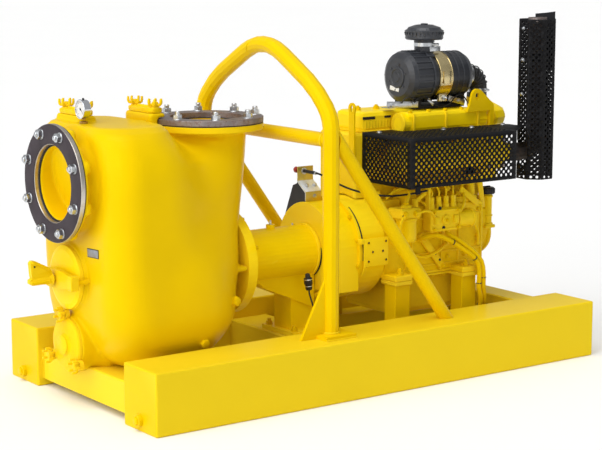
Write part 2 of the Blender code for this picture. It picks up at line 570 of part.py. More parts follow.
# Exhaust: manifold log behind the guard, then a bend and the upright stack pipe.
runners = [box(x - 0.022, x + 0.022, -0.150, -0.0553, 0.630, 0.670, bevel=0.004) for x in (1.12, 1.25, 1.38)]
combine("exhaust_pipe", RUSTED,
        [tube([(1.07, -0.148, 0.648), (1.495, -0.148, 0.648), (1.530, -0.151, 0.648), (1.560, -0.162, 0.649),
               (1.585, -0.180, 0.656), (1.599, -0.194, 0.672), (STACK_X, STACK_Y, 0.700),
               (STACK_X, STACK_Y, 1.090)], 0.030, 4)] + runners,
        [rod((STACK_X, STACK_Y, 1.02), (STACK_X, STACK_Y, 1.12), 0.0265, sides=20)])


def sheet_path(points, thick):
    """Outline of a folded sheet seen from its edge."""
    left, right = [], []
    for i, p in enumerate(points):
        a = Vector(points[max(i - 1, 0)])
        b = Vector(points[min(i + 1, len(points) - 1)])
        here = Vector(p)
        dirs = [(here - a).normalized() if i else None,
                (b - here).normalized() if i < len(points) - 1 else None]
        dirs = [d for d in dirs if d is not None]
        normal = sum((Vector((-d.y, d.x)) for d in dirs), Vector((0, 0))).normalized()
        scale = 1.0 / max(normal.dot(Vector((-dirs[0].y, dirs[0].x))), 0.3)
        left.append(tuple(here + normal * scale * thick / 2))
        right.append(tuple(here - normal * scale * thick / 2))
    return left + right[::-1]


# The exhaust guard: a front and a side wall of sheet under a wide top plate.
GUARD = ((0.996, -0.056), (0.994, -0.300), (1.428, -0.300))
GUARD_Z = (0.585, 0.7405)
walls = outline(sheet_path(GUARD, SHEET), GUARD_Z[1] - GUARD_Z[0], plane_z(sum(GUARD_Z) / 2))
lip = outline([(0.9945, -0.0560), (0.9925, -0.3015), (1.4295, -0.3015), (1.5380, -0.2100), (1.5380, -0.1450),
               (1.5150, -0.1270), (1.3600, -0.1270), (1.3600, -0.1135), (1.1150, -0.1135), (1.1150, -0.0560)],
              SHEET, plane_z(GUARD_Z[1] - SHEET / 2))
tabs = [box(1.100, 1.112, -0.075, -0.0553, 0.705, 0.7390), box(1.340, 1.358, -0.130, -0.0553, 0.7300, 0.7340),
        box(1.340, 1.358, -0.130, -0.1180, 0.7300, 0.7390)]
combine("exhaust_guard", BLACK, [walls, lip] + tabs)

CORNER = STACK_FLAT / math.cos(math.pi / 8)
octagon = [(STACK_X + CORNER * math.cos(math.radians(22.5 + 45 * k)),
            STACK_Y + CORNER * math.sin(math.radians(22.5 + 45 * k))) for k in range(8)]
inner = [(STACK_X + (x - STACK_X) * (1 - SHEET / STACK_FLAT),
          STACK_Y + (y - STACK_Y) * (1 - SHEET / STACK_FLAT))
         for x, y in octagon]
plate = outline(sheet_path([(1.6375, -0.1535), (1.6585, -0.1765), (1.6585, -0.2230), (1.6510, -0.2310)],
                           SHEET),
                0.200, plane_z(1.020))
above = outline([(-0.260, 1.1125), (-0.100, 1.0935), (-0.100, 1.150), (-0.260, 1.150)], 0.10, plane_x(1.650))
combine("stack_guard", BLACK,
        [outline(octagon, 0.521, plane_z(0.8245)), plate],
        [outline(inner, 0.70, plane_z(0.8245)), box(1.500, 1.590, -0.2205, -0.100, 0.611, 0.690), above])
combine("stack_clamp", BLACK,
        [box(STACK_X - STACK_FLAT + SHEET + GAP, STACK_X + STACK_FLAT - SHEET - GAP, STACK_Y - 0.006,
             STACK_Y + 0.006, 0.950, 0.970),
         rod((STACK_X, STACK_Y, 0.948), (STACK_X, STACK_Y, 0.972), 0.036, sides=24)],
        [rod((STACK_X, STACK_Y, 0.93), (STACK_X, STACK_Y, 0.99), 0.0306, sides=24)])

# Lifting bail: two legs on the beams, sloping shoulders, and braces back to the beams.
def bail_path():
    half = [(BAIL_Y, BEAM_H + GAP), (BAIL_Y, 0.798), (0.3385, 0.818), (0.330, 0.838), (0.313, 0.861),
            (0.278, 0.895), (0.230, 0.929), (0.150, 0.973), (0.098, 1.001), (0.065, 1.015), (0.033, 1.0235),
            (0.0, BAIL_TOP)]
    pts = [(BAIL_X, y, z) for y, z in half]
    return pts + [(BAIL_X, -y, z) for y, z in half[-2::-1]]


solids = [tube(bail_path(), TUBE_R, 4),
          rod((BAIL_X, -BAIL_Y, BAR_Z), (BAIL_X, BAIL_Y, BAR_Z), BRACE_R, sides=20)]
for s in (-1, 1):
    y = s * BAIL_Y
    solids.append(outline([(BAIL_X - 0.020, 0.355), (BAIL_X - 0.020, BEAM_H + GAP), (BAIL_X - 0.110,
                                                                                     BEAM_H + GAP)],
                          0.010, plane_y(y)))
    solids.append(box(BAIL_X - 0.055, BAIL_X + 0.055, y - 0.055, y + 0.055, BEAM_H + GAP, BEAM_H + 0.012))
combine("lifting_bail", YELLOW, solids)
for side, s in (("near", -1), ("far", 1)):
    y = s * BAIL_Y
    top = (BAIL_X + 0.010, y, 0.777)
    combine(f"{side}_brace", YELLOW, [rod(top, (1.118, y, 0.162), BRACE_R, sides=20)],
            [box(1.0, 1.2, y - 0.05, y + 0.05, 0.10, BEAM_H + GAP),
             rod((BAIL_X, y, 0.60), (BAIL_X, y, 0.90), TUBE_R + GAP, sides=32),
             rod((BAIL_X, -0.4, BAR_Z), (BAIL_X, 0.4, BAR_Z), BRACE_R + GAP, sides=32)])

# Engine stop control on the bell housing: black box, folded bracket, pull knob and its cable.
KNOB = (0.8585, 0.1030, 0.614)
over_bell = [rod((0.80, 0, SHAFT_Z), (0.95, 0, SHAFT_Z), 0.1503, sides=60)]
combine("control_box", PLASTIC,
        [outline([(0.0973, 0.5676), (0.0761, 0.5753), (0.0728, 0.5805), (0.0302, 0.5502), (0.0302, 0.505),
                  (0.100, 0.440), (0.150, 0.448)], 0.0447, plane_x(0.8577))], over_bell)
combine("control_bracket", PASSIVATED,
        [outline([(0.0267, 0.510), (0.0267, 0.5525), (0.0700, 0.5836), (0.0700, 0.629), (0.0730, 0.629),
                  (0.0730, 0.5817), (0.0297, 0.5508), (0.0297, 0.510)], 0.060, plane_x(0.865))],
        over_bell + [rod((KNOB[0], 0.06, KNOB[2]), (KNOB[0], 0.08, KNOB[2]), 0.0042, sides=12)])
combine("stop_knob", RED,
        [turned([(0, 0.013), (0.007, 0.013), (0.010, 0.010), (0.010, 0.004), (0.005, 0.0), (0, 0)], KNOB, 'Y', 20),
         rod((KNOB[0], 0.0300, KNOB[2]), (KNOB[0], KNOB[1] + 0.003, KNOB[2]), 0.0034, sides=12)])


def smooth_path(knots, spacing):
    """Points about spacing apart on a smooth curve through knots, with a straight lead at each end."""
    k = [Vector(p) for p in knots[1:-1]]
    k = [2 * k[0] - k[1]] + k + [2 * k[-1] - k[-2]]
    out = []
    for a, b, c, d in zip(k, k[1:], k[2:], k[3:]):
        n = max(2, round((c - b).length / spacing))
        for i in range(n):
            t = i / n
            out.append(0.5 * ((2 * b) + (c - a) * t + (2 * a - 5 * b + 4 * c - d) * t * t
                              + (3 * b - a - 3 * c + d) * t ** 3))
    return [tuple(p) for p in [Vector(knots[0])] + out + [k[-2], Vector(knots[-1])]]


CABLE = [(0.8585, 0.0170, 0.614), (0.8585, 0.004, 0.614), (0.866, -0.006, 0.611), (0.890, -0.017, 0.598),
         (0.920, -0.041, 0.577), (0.940, -0.066, 0.565), (0.957, -0.118, 0.557), (1.010, -0.162, 0.548),
         (1.080, -0.176, 0.548), (1.140, -0.177, 0.552), (1.1632, -0.177, 0.554)]
combine("stop_cable", PLASTIC,
        [tube(smooth_path(CABLE, 0.014), 0.0032, 2),
         rod((KNOB[0], 0.0120, KNOB[2]), (KNOB[0], 0.0697, KNOB[2]), 0.0056, sides=16)],
        [rod((KNOB[0], 0.0240, KNOB[2]), (KNOB[0], 0.0800, KNOB[2]), 0.0042, sides=12)])
HOSES = {"upper": [(1.245, -0.181, 0.4197), (1.245, -0.181, 0.411), (1.252, -0.190, 0.402), (1.275,
                                                                                             -0.203, 0.386),
                   (1.322, -0.219, 0.349), (1.351, -0.229, 0.314), (1.358, -0.232, 0.275), (1.360,
                                                                                            -0.230, 0.230),
                   (1.375, -0.219, 0.182), (1.387, -0.193, 0.133), (1.387, -0.193, 0.1103)],
         "lower": [(1.150, -0.1503, 0.396), (1.150, -0.160, 0.396), (1.158, -0.174, 0.404), (1.190,
                                                                                             -0.192, 0.410),
                   (1.235, -0.205, 0.390), (1.280, -0.216, 0.360), (1.315, -0.226, 0.334), (1.336,
                                                                                            -0.231, 0.307),
                   (1.340, -0.232, 0.270), (1.341, -0.230, 0.228), (1.358, -0.222, 0.182), (1.366,
                                                                                            -0.195, 0.133),
                   (1.366, -0.195, 0.1103)]}
for place, knots in HOSES.items():
    keep(tube(smooth_path(knots, 0.022), 0.0080, 3), f"{place}_engine_hose", YELLOW)
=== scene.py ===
"""Looks of the skid-mounted self-priming pump with its diesel engine.

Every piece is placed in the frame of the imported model: metres, Z up, X along the shaft.
"""
import math
import random

import bmesh
import bpy
from mathutils import Matrix, Vector


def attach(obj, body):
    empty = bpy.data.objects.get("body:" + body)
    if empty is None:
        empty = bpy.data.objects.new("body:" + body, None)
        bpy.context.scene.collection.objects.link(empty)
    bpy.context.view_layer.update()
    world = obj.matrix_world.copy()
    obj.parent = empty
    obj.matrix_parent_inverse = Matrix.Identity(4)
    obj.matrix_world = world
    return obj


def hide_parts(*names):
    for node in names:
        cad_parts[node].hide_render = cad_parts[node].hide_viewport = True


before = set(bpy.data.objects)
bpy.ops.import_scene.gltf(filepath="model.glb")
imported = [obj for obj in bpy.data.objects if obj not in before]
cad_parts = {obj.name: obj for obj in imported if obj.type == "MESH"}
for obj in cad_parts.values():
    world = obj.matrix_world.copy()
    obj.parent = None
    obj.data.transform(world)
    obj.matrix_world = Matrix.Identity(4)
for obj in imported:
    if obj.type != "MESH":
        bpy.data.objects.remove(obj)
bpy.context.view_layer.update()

# X is given from the skid's front end. The frame's origin lies MID behind that end.
MID = 0.761
DRUM_R = 0.162
SHAFT_Z = 0.374
FLANGE_R, NECK_BORE, BOLT_R = 0.17, 0.1108, 0.1475
SUCTION_X, SUCTION_Z = -0.0736, 0.657
SEAT_X = SUCTION_X + 0.0193
BORE_R = 0.104
OUT_X, OUT_Z = 0.4494, 0.82
CASE_TOP = 0.8195
STACK_X, STACK_Y, STACK_FLAT = 1.604, -0.2, 0.0585
CLEANER_Z = 0.901
UP, DOWN, NEAR, FAR, FRONT, REAR = (0, 0, 1), (0, 0, -1), (0, -1, 0), (0, 1, 0), (-1, 0, 0), (1, 0, 0)
PUMP = "pump_set"
rng = random.Random(7)


# Materials
def shader(name, colour, rough, metal=0.0, vary=0.05, vary_scale=5.0, rough_vary=0.04, bump=(), edge_wear_and_highlight=None,
        dirt=None, **sockets):
    """A principled material in object space.

    bump is a list of (scale, distance, detail).
    The edge tone argument is (colour, amount): a lighter colour on convex edges, partly rubbed paint and
    partly a painted highlight where the edges catch the light. dirt is (colour, amount) in patches.
    """
    mat = bpy.data.materials.new(name)
    mat.use_nodes = True
    tree = mat.node_tree
    nodes, links = tree.nodes, tree.links
    bsdf = nodes["Principled BSDF"]
    bsdf.inputs["Metallic"].default_value = metal
    for key, value in sockets.items():
        bsdf.inputs[key.replace("_", " ")].default_value = value
    place = nodes.new("ShaderNodeTexCoord").outputs["Object"]

    def noise(scale, detail=3.0, roughness=0.5):
        tex = nodes.new("ShaderNodeTexNoise")
        tex.inputs["Scale"].default_value = scale
        tex.inputs["Detail"].default_value = detail
        tex.inputs["Roughness"].default_value = roughness
        links.new(place, tex.inputs["Vector"])
        return tex.outputs["Fac"]

    def ramp(source, low, high, a=0.3, b=0.7):
        made = nodes.new("ShaderNodeValToRGB")
        made.color_ramp.elements[0].position = a
        made.color_ramp.elements[1].position = b
        made.color_ramp.elements[0].color = (*low, 1.0)
        made.color_ramp.elements[1].color = (*high, 1.0)
        links.new(source, made.inputs["Fac"])
        return made.outputs["Color"]

    def mix(fac, base, tone):
        made = nodes.new("ShaderNodeMix")
        made.data_type = 'RGBA'
        links.new(fac, made.inputs["Factor"])
        links.new(base, made.inputs["A"])
        made.inputs["B"].default_value = (*tone, 1.0)
        return made.outputs["Result"]

    dark = tuple(c * (1 - vary) for c in colour)
    light = tuple(min(1.0, c * (1 + vary)) for c in colour)
    shown = ramp(noise(vary_scale), dark, light)
    if dirt:
        tone, amount = dirt
        patch = ramp(noise(vary_scale * 4.0, 6.0, 0.65), (0.0,) * 3, (amount,) * 3, 0.48, 0.72)
        shown = mix(patch, shown, tone)
    # Lighter colour on convex edges: partly rubbed paint, partly a painted highlight where the edges catch
    # the light.
    if edge_wear_and_highlight:
        tone, amount = edge_wear_and_highlight
        edge = nodes.new("ShaderNodeNewGeometry").outputs["Pointiness"]
        edge_tone = ramp(edge, (0.0,) * 3, (amount,) * 3, 0.52, 0.6)
        shown = mix(edge_tone, shown, tone)
    links.new(shown, bsdf.inputs["Base Color"])
    span = nodes.new("ShaderNodeMapRange")
    span.inputs["To Min"].default_value = max(0.02, rough - rough_vary)
    span.inputs["To Max"].default_value = rough + rough_vary
    links.new(noise(vary_scale * 7.0, 4.0), span.inputs["Value"])
    links.new(span.outputs["Result"], bsdf.inputs["Roughness"])
    last = None
    for scale, distance, detail in bump:
        node = nodes.new("ShaderNodeBump")
        node.inputs["Strength"].default_value = 1.0
        node.inputs["Distance"].default_value = distance
        links.new(noise(scale, detail), node.inputs["Height"])
        if last:
            links.new(last, node.inputs["Normal"])
        last = node.outputs["Normal"]
    if last:
        links.new(last, bsdf.inputs["Normal"])
    return mat


PAINT = (0.8, 0.535, 0.0015)
GLOSS = {"Coat_Weight": 0.01, "Coat_Roughness": 0.12, "Specular_IOR_Level": 0.5, "IOR": 1.22,
    "Specular_Tint": (1.0, 0.74, 0.05, 1.0)}
PEEL = (420.0, 0.00006, 2.0)
paint_case = shader("paint_case", PAINT, 0.33, vary=0.035, vary_scale=4.0, edge_wear_and_highlight=((0.9, 0.66, 0.02), 0.5),
    bump=[(9.0, 0.0016, 2.0), PEEL], **GLOSS)
paint_skid = shader("paint_skid", (0.775, 0.535, 0.0015), 0.36, vary=0.03, vary_scale=3.0,
    edge_wear_and_highlight=((0.92, 0.7, 0.03), 0.6), bump=[(3.5, 0.0012, 1.0), PEEL], **GLOSS)
# A brighter copy of the yellow paint: painted light on the parts that sit in shade.
paint_bright_for_shade = shader("paint_bright_for_shade", (0.97, 0.68, 0.0015), 0.36, vary=0.04, vary_scale=9.0,
    edge_wear_and_highlight=((1.0, 0.78, 0.03), 0.5), bump=[(60.0, 0.0006, 3.0), PEEL], **GLOSS)
paint_steel = shader("paint_steel", PAINT, 0.34, vary=0.03, vary_scale=8.0, bump=[PEEL], **GLOSS)
paint_cast = shader("paint_cast", (0.88, 0.6, 0.0015), 0.4, vary=0.05, vary_scale=14.0,
    edge_wear_and_highlight=((0.95, 0.7, 0.03), 0.5), dirt=((0.56, 0.33, 0.003), 0.25),
    bump=[(70.0, 0.0008, 4.0), (260.0, 0.00025, 3.0)], **{**GLOSS, "Coat_Roughness": 0.15})
rubber_face = shader("rubber_face", (0.042, 0.032, 0.038), 0.62, vary=0.18, vary_scale=18.0,
    bump=[(500.0, 0.00012, 3.0), (28.0, 0.0004, 3.0)], Specular_IOR_Level=0.3)
gasket = shader("gasket", (0.01, 0.01, 0.011), 0.7, vary=0.2, vary_scale=30.0,
    bump=[(400.0, 0.0002, 2.0)])
rusty_steel = shader("rusty_steel", (0.27, 0.235, 0.225), 0.5, 0.75, vary=0.22, vary_scale=26.0,
    rough_vary=0.12, dirt=((0.16, 0.055, 0.025), 0.85), bump=[(90.0, 0.0005, 5.0), (600.0, 0.0001, 3.0)])
sooty_steel = shader("sooty_steel", (0.03, 0.024, 0.022), 0.6, 0.4, vary=0.25, vary_scale=24.0,
    rough_vary=0.1, dirt=((0.06, 0.03, 0.016), 0.7), bump=[(90.0, 0.0005, 5.0), (600.0, 0.0001, 3.0)])
bright_zinc = shader("bright_zinc", (0.78, 0.83, 0.88), 0.45, 0.55, vary=0.1, vary_scale=50.0,
    rough_vary=0.1, bump=[(350.0, 0.0001, 3.0)])
turned_steel = shader("turned_steel", (0.55, 0.52, 0.48), 0.34, 0.9, vary=0.2, vary_scale=14.0,
    rough_vary=0.1, dirt=((0.36, 0.27, 0.17), 0.55), bump=[(700.0, 0.00005, 2.0)])
zinc = shader("zinc", (0.6, 0.62, 0.64), 0.3, 1.0, vary=0.14, vary_scale=60.0, rough_vary=0.1,
    bump=[(350.0, 0.00015, 3.0)])
yellow_zinc = shader("yellow_zinc", (0.6, 0.48, 0.1), 0.34, 1.0, vary=0.2, vary_scale=22.0,
    rough_vary=0.08, dirt=((0.42, 0.46, 0.22), 0.5), bump=[(300.0, 0.0001, 2.0)])
black_steel = shader("black_steel", (0.003, 0.0028, 0.0032), 0.55, vary=0.2, vary_scale=20.0,
    edge_wear_and_highlight=((0.03, 0.03, 0.033), 0.5), bump=[(500.0, 0.0001, 2.0)], Specular_IOR_Level=0.07)
black_plastic = shader("black_plastic", (0.007, 0.0072, 0.0085), 0.42, vary=0.15, vary_scale=16.0,
    edge_wear_and_highlight=((0.03, 0.03, 0.034), 0.5), bump=[(900.0, 0.00005, 2.0)], Specular_IOR_Level=0.3)
grey_plastic = shader("grey_plastic", (0.02, 0.022, 0.027), 0.34, vary=0.12, vary_scale=16.0,
    edge_wear_and_highlight=((0.06, 0.064, 0.075), 0.5), bump=[(900.0, 0.00006, 2.0)])
rubber_hose = shader("rubber_hose", (0.016, 0.016, 0.017), 0.55, vary=0.2, vary_scale=25.0,
    bump=[(350.0, 0.0002, 3.0)])
gilt = shader("gilt", (0.68, 0.56, 0.3), 0.24, 1.0, vary=0.14, vary_scale=16.0, rough_vary=0.08,
    bump=[(400.0, 0.00006, 2.0)])
chrome = shader("chrome", (0.72, 0.74, 0.78), 0.12, 1.0, vary=0.05, vary_scale=30.0,
    bump=[(200.0, 0.00003, 2.0)])
brass = shader("brass", (0.5, 0.32, 0.1), 0.34, 1.0, vary=0.2, vary_scale=60.0,
    bump=[(500.0, 0.0001, 2.0)])
red_plastic = shader("red_plastic", (0.36, 0.03, 0.018), 0.38, vary=0.12, vary_scale=60.0,
    bump=[(600.0, 0.00005, 2.0)])
label_white = shader("label_white", (0.8, 0.81, 0.82), 0.42, vary=0.04, vary_scale=60.0,
    bump=[(300.0, 0.00003, 2.0)])
label_grey = shader("label_grey", (0.34, 0.36, 0.4), 0.38, 0.6, vary=0.18, vary_scale=70.0,
    bump=[(500.0, 0.0001, 2.0)])
dial_white = shader("dial_white", (0.78, 0.79, 0.8), 0.35, vary=0.03, vary_scale=90.0,
    bump=[(300.0, 0.00002, 2.0)])
# Painted shade, for the dark insides of holes, slots and gaps.
shade_in_holes = shader("shade_in_holes", (0.006, 0.005, 0.004), 0.8, vary=0.2, vary_scale=50.0)


# Mesh helpers
def at(x, y, z):
    return Vector((x - MID, y, z))


def circle(n, radius, first=0.0):
    """Points evenly round a circle, the first at an angle in degrees."""
    turns = [math.radians(first + 360 * k / n) for k in range(n)]
    return [(radius * math.cos(a), radius * math.sin(a)) for a in turns]


def add_rings(bm, rings):
    """Skin closed rings of points, and cap the two ends."""
    made = [[bm.verts.new(p) for p in ring] for ring in rings]
    for low, high in zip(made, made[1:]):
        n = len(low)
        for i in range(n):
            bm.faces.new((low[i], low[(i + 1) % n], high[(i + 1) % n], high[i]))
    bm.faces.new(made[0][::-1])
    bm.faces.new(made[-1])


def basis(direction):
    """Two unit vectors across a direction."""
    d = Vector(direction).normalized()
    if abs(d.z) > 0.999:
        u = Vector((1, 0, 0))
    elif abs(d.x) > 0.999:
        u = Vector((0, 1, 0))
    else:
        u = d.cross(Vector((0, 0, 1))).normalized()
    return u, d.cross(u).normalized()


def lathe(bm, profile, centre, direction, steps=32):
    """Turn an open profile of (radius, height) about a direction. Ends with radius 0 close to a point."""
    base, d = at(*centre), Vector(direction).normalized()
    u, v = basis(d)
    turns = [2 * math.pi * k / steps for k in range(steps)]
    spokes = [u * math.cos(a) + v * math.sin(a) for a in turns]
    rings = []
    for r, h in profile:
        foot = base + d * h
        points = [foot + spoke * r for spoke in spokes] if r > 1e-7 else [foot]
        rings.append([bm.verts.new(p) for p in points])
    for low, high in zip(rings, rings[1:]):
        for i in range(steps):
            j = (i + 1) % steps
            if len(low) == 1 and len(high) > 1:
                bm.faces.new((low[0], high[j], high[i]))
            elif len(high) == 1 and len(low) > 1:
                bm.faces.new((low[i], low[j], high[0]))
            elif len(low) > 1:
                bm.faces.new((low[i], low[j], high[j], high[i]))


def disc(bm, centre, direction, radius, height, steps=18):
    lathe(bm, [(0, 0), (radius, 0), (radius, height), (0, height)], centre, direction, steps)


def rod(bm, p0, p1, r0, r1=None, sides=20, chamfer=0.0):
    """A round bar between two points, tapered to r1 if that is given."""
    d = at(*p1) - at(*p0)
    length = d.length
    r1 = r0 if r1 is None else r1
    c = min(chamfer, length / 2, r0 / 2, r1 / 2)
    side = [(r0, c), (r1, length - c)] if c else []
    lathe(bm, [(0, 0), (r0 - c, 0), *side, (r1 - c, length), (0, length)], p0, d, sides)


def boss(bm, centre, direction, length, r0, r1=None, sides=28, chamfer=0.002):
    """A round boss standing on a face."""
    rod(bm, centre, Vector(centre) + Vector(direction) * length, r0, r1, sides, chamfer)


def nut(bm, centre, direction, across, height, turn=0.0, steps=36):
    """A hexagon nut or bolt head, chamfered on its outer face."""
    half = across / 2
    flat = half * 0.93
    base, d = at(*centre), Vector(direction).normalized()
    u, v = basis(d)
    rings = [[], [], []]
    for k in range(steps):
        a = 2 * math.pi * k / steps
        corner = half / math.cos((a + math.pi / 6) % (math.pi / 3) - math.pi / 6)
        out = u * math.cos(a + turn) + v * math.sin(a + turn)
        rings[0].append(base + out * corner)
        rings[1].append(base + out * corner + d * (height - (corner - flat) * 0.6))
        rings[2].append(base + out * flat + d * height)
    add_rings(bm, rings)


def washer(bm, centre, direction, radius, thick, steps=24):
    profile = [(0, 0), (radius, 0), (radius, thick * 0.7), (radius * 0.96, thick), (0, thick)]
    lathe(bm, profile, centre, direction, steps)


def absorb(bm, part):
    mesh = bpy.data.meshes.new("t")
    part.to_mesh(mesh)
    part.free()
    bm.from_mesh(mesh)
    bpy.data.meshes.remove(mesh)


def ease(part, edges, width, segments=2):
    if width:
        bmesh.ops.bevel(part, geom=list(edges), offset=width, offset_type='OFFSET', segments=segments,
            profile=0.5, affect='EDGES')


def box(bm, size, place, bevel, segments=2):
    """A box of a given size with eased edges; place takes it from the origin to the world."""
    part = bmesh.new()
    bmesh.ops.create_cube(part, size=1.0)
    bmesh.ops.scale(part, vec=size, verts=part.verts)
    bmesh.ops.transform(part, matrix=place, verts=part.verts)
    ease(part, part.edges, bevel, segments)
    absorb(bm, part)


def block(bm, x0, x1, y0, y1, z0, z1, bevel=0.0, segments=2):
    """A box that lies along the axes."""
    place = Matrix.Translation(at((x0 + x1) / 2, (y0 + y1) / 2, (z0 + z1) / 2))
    box(bm, (x1 - x0, y1 - y0, z1 - z0), place, bevel, segments)


def both_sides(bm, x0, x1, y0, y1, z0, z1, bevel):
    """A block on the near side and its mirror on the far side."""
    block(bm, x0, x1, -y1, -y0, z0, z1, bevel)
    block(bm, x0, x1, y0, y1, z0, z1, bevel)


def bar(bm, p0, p1, wide, thick, across=FAR, bevel=0.0015):
    """A flat bar between two points, thick in the direction across."""
    a, b = at(*p0), at(*p1)
    d = (b - a).normalized()
    n = Vector(across)
    n = (n - d * n.dot(d)).normalized()
    w = d.cross(n)
    turn = Matrix(((d.x, n.x, w.x, 0), (d.y, n.y, w.y, 0), (d.z, n.z, w.z, 0), (0, 0, 0, 1)))
    box(bm, ((b - a).length, thick, wide), Matrix.Translation((a + b) / 2) @ turn, bevel)


def ring(bm, centre, direction, inner, outer, wide, steps=48, edge=0.0006):
    """A round band about a direction, wide along it from centre on."""
    profile = [(inner, 0), (outer - edge, 0), (outer, edge), (outer, wide - edge), (outer - edge, wide),
        (inner, wide), (inner, 0)]
    lathe(bm, profile, centre, direction, steps)


def each(build, bm, *rows):
    """Build one form for every row of its arguments."""
    for row in rows:
        build(bm, *row)


def plate(bm, points, thick, place, bevel=0.0):
    """A flat outline with thickness, centred on its plane; place takes the plane to the world."""
    part = bmesh.new()
    low = [part.verts.new((u, v, -thick / 2)) for u, v in points]
    high = [part.verts.new((u, v, thick / 2)) for u, v in points]
    n = len(points)
    faces = [part.faces.new(low[::-1]), part.faces.new(high)]
    for i in range(n):
        part.faces.new((low[i], low[(i + 1) % n], high[(i + 1) % n], high[i]))
    ease(part, {e for f in faces for e in f.edges}, bevel)
    bmesh.ops.transform(part, matrix=place, verts=part.verts)
    absorb(bm, part)


def plane_z(z):
    return Matrix(((1, 0, 0, -MID), (0, 1, 0, 0), (0, 0, 1, z), (0, 0, 0, 1)))


def arc(cx, cy, r, a0, a1, n):
    return [(cx + r * math.cos(math.radians(a0 + (a1 - a0) * k / n)),
        cy + r * math.sin(math.radians(a0 + (a1 - a0) * k / n))) for k in range(n + 1)]


def smooth(knots, spacing):
    """Points about spacing apart on a Catmull-Rom curve through knots."""
    k = [Vector(p) for p in knots]
    k = [2 * k[0] - k[1]] + k + [2 * k[-1] - k[-2]]
    out = []
    for a, b, c, d in zip(k, k[1:], k[2:], k[3:]):
        n = max(2, round((c - b).length / spacing))
        for i in range(n):
            t = i / n
            out.append(0.5 * ((2 * b) + (c - a) * t + (2 * a - 5 * b + 4 * c - d) * t * t
                + (3 * b - a - 3 * c + d) * t ** 3))
    return out + [k[-2]]


def pipe(bm, points, radius, sides=12):
    """A bent round bar; radius may be a function of the share of the way along."""
    pts = [at(*p) for p in points]
    rings = []
    u = None
    for i, p in enumerate(pts):
        d = (pts[min(i + 1, len(pts) - 1)] - pts[max(i - 1, 0)]).normalized()
        u = basis(d)[0] if u is None else (u - d * u.dot(d)).normalized()
        v = d.cross(u)
        r = radius(i / (len(pts) - 1)) if callable(radius) else radius
        rings.append([p + (u * c + v * s) * r for c, s in circle(sides, 1.0)])
    add_rings(bm, rings)


def tube(bm, knots, radius, sides=10, spacing=0.007):
    """A bent round bar along a smooth curve."""
    pipe(bm, smooth(knots, spacing), radius, sides)


def piece(bm, name, mat, body=PUMP, angle=32.0, weld=True):
    """Turn a bmesh to a named piece that rides on a body."""
    if weld:
        bmesh.ops.remove_doubles(bm, verts=bm.verts, dist=0.000005)
    bmesh.ops.recalc_face_normals(bm, faces=bm.faces)
    mesh = bpy.data.meshes.new(name)
    bm.to_mesh(mesh)
    bm.free()
    mesh.shade_smooth()
    mesh.set_sharp_from_angle(angle=math.radians(angle))
    mesh.materials.append(mat)
    obj = bpy.data.objects.new(name, mesh)
    bpy.context.scene.collection.objects.link(obj)
    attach(obj, body)
    return obj


# Finishes of the CAD nodes
FINISH = {
    paint_case: ["pump_casing", "hand_hole_yoke", "hand_hole_screw"],
    paint_bright_for_shade: ["hand_hole_cover", "bearing_bracket", "bell_housing", "flywheel_housing", "intake_manifold",
                  "rocker_cover"],
    paint_skid: ["near_skid_beam", "far_skid_beam", "front_cross_member", "casing_cross_member",
                 "bearing_cross_member", "rear_cross_member", "near_engine_support", "far_engine_support"],
    paint_steel: ["lifting_bail", "near_brace", "far_brace", "rear_lifting_eye", "front_lifting_eye",
                  "upper_engine_hose", "lower_engine_hose"],
    grey_plastic: ["air_cleaner", "pre_cleaner"],
    paint_cast: ["engine_block", "oil_sump", "timing_cover", "fuel_filter", "injection_pump"],
    sooty_steel: ["exhaust_pipe"],
    black_steel: ["air_cleaner_bracket", "stack_clamp"],
    black_plastic: ["oil_filler_cap", "control_box", "stop_cable", "coupling"],
    rubber_hose: ["air_outlet"],
    gilt: ["air_cleaner_band"],
    yellow_zinc: ["control_bracket"],
    red_plastic: ["stop_knob"],
}
for mat, names in FINISH.items():
    for name in names:
        node = bpy.data.objects[name]
        node.data.materials.clear()
        node.data.materials.append(mat)


# Pump casing
# Chamber rows: height, front, rear, half width, front radius, rear radius.
# Neck rows: height, centre, radius. Blend rows: height, width of the blend between chamber and neck.
CHAMBER = ((0.115, 0.1, 0.345, 0.155, 0.1, 0.12), (0.13, 0.072, 0.37, 0.183, 0.12, 0.13),
    (0.15, 0.05, 0.393, 0.205, 0.13, 0.14), (0.2, 0.02, 0.43, 0.236, 0.13, 0.15),
    (0.25, 0.004, 0.447, 0.248, 0.12, 0.15), (0.33, -0.005, 0.425, 0.25, 0.11, 0.13),
    (0.4, -0.005, 0.392, 0.25, 0.1, 0.135), (0.475, -0.005, 0.36, 0.25, 0.095, 0.155),
    (0.545, -0.005, 0.345, 0.25, 0.095, 0.175), (0.6, -0.005, 0.334, 0.25, 0.095, 0.19),
    (0.655, -0.005, 0.322, 0.25, 0.095, 0.195), (0.7, -0.005, 0.308, 0.25, 0.095, 0.19),
    (0.73, -0.005, 0.292, 0.25, 0.095, 0.18), (0.758, -0.005, 0.272, 0.249, 0.095, 0.16),
    (0.785, -0.004, 0.253, 0.245, 0.092, 0.13), (0.8, 0, 0.244, 0.239, 0.09, 0.11),
    (0.811, 0.006, 0.235, 0.23, 0.085, 0.092), (0.817, 0.014, 0.227, 0.22, 0.08, 0.08),
    (CASE_TOP, 0.024, 0.218, 0.207, 0.072, 0.072))
NECK = ((0.115, 0.24, 0.1), (0.23, 0.25, 0.225), (0.31, 0.256, 0.245), (0.4, 0.272, 0.24),
        (0.475, 0.313, 0.205), (0.55, 0.36, 0.172), (0.65, 0.402, 0.148), (0.74, 0.437, 0.126),
        (0.79, OUT_X, 0.118))
NEAR_LEAN = 2.3                        # how much the near side bends inwards with the height above LEAN_Z
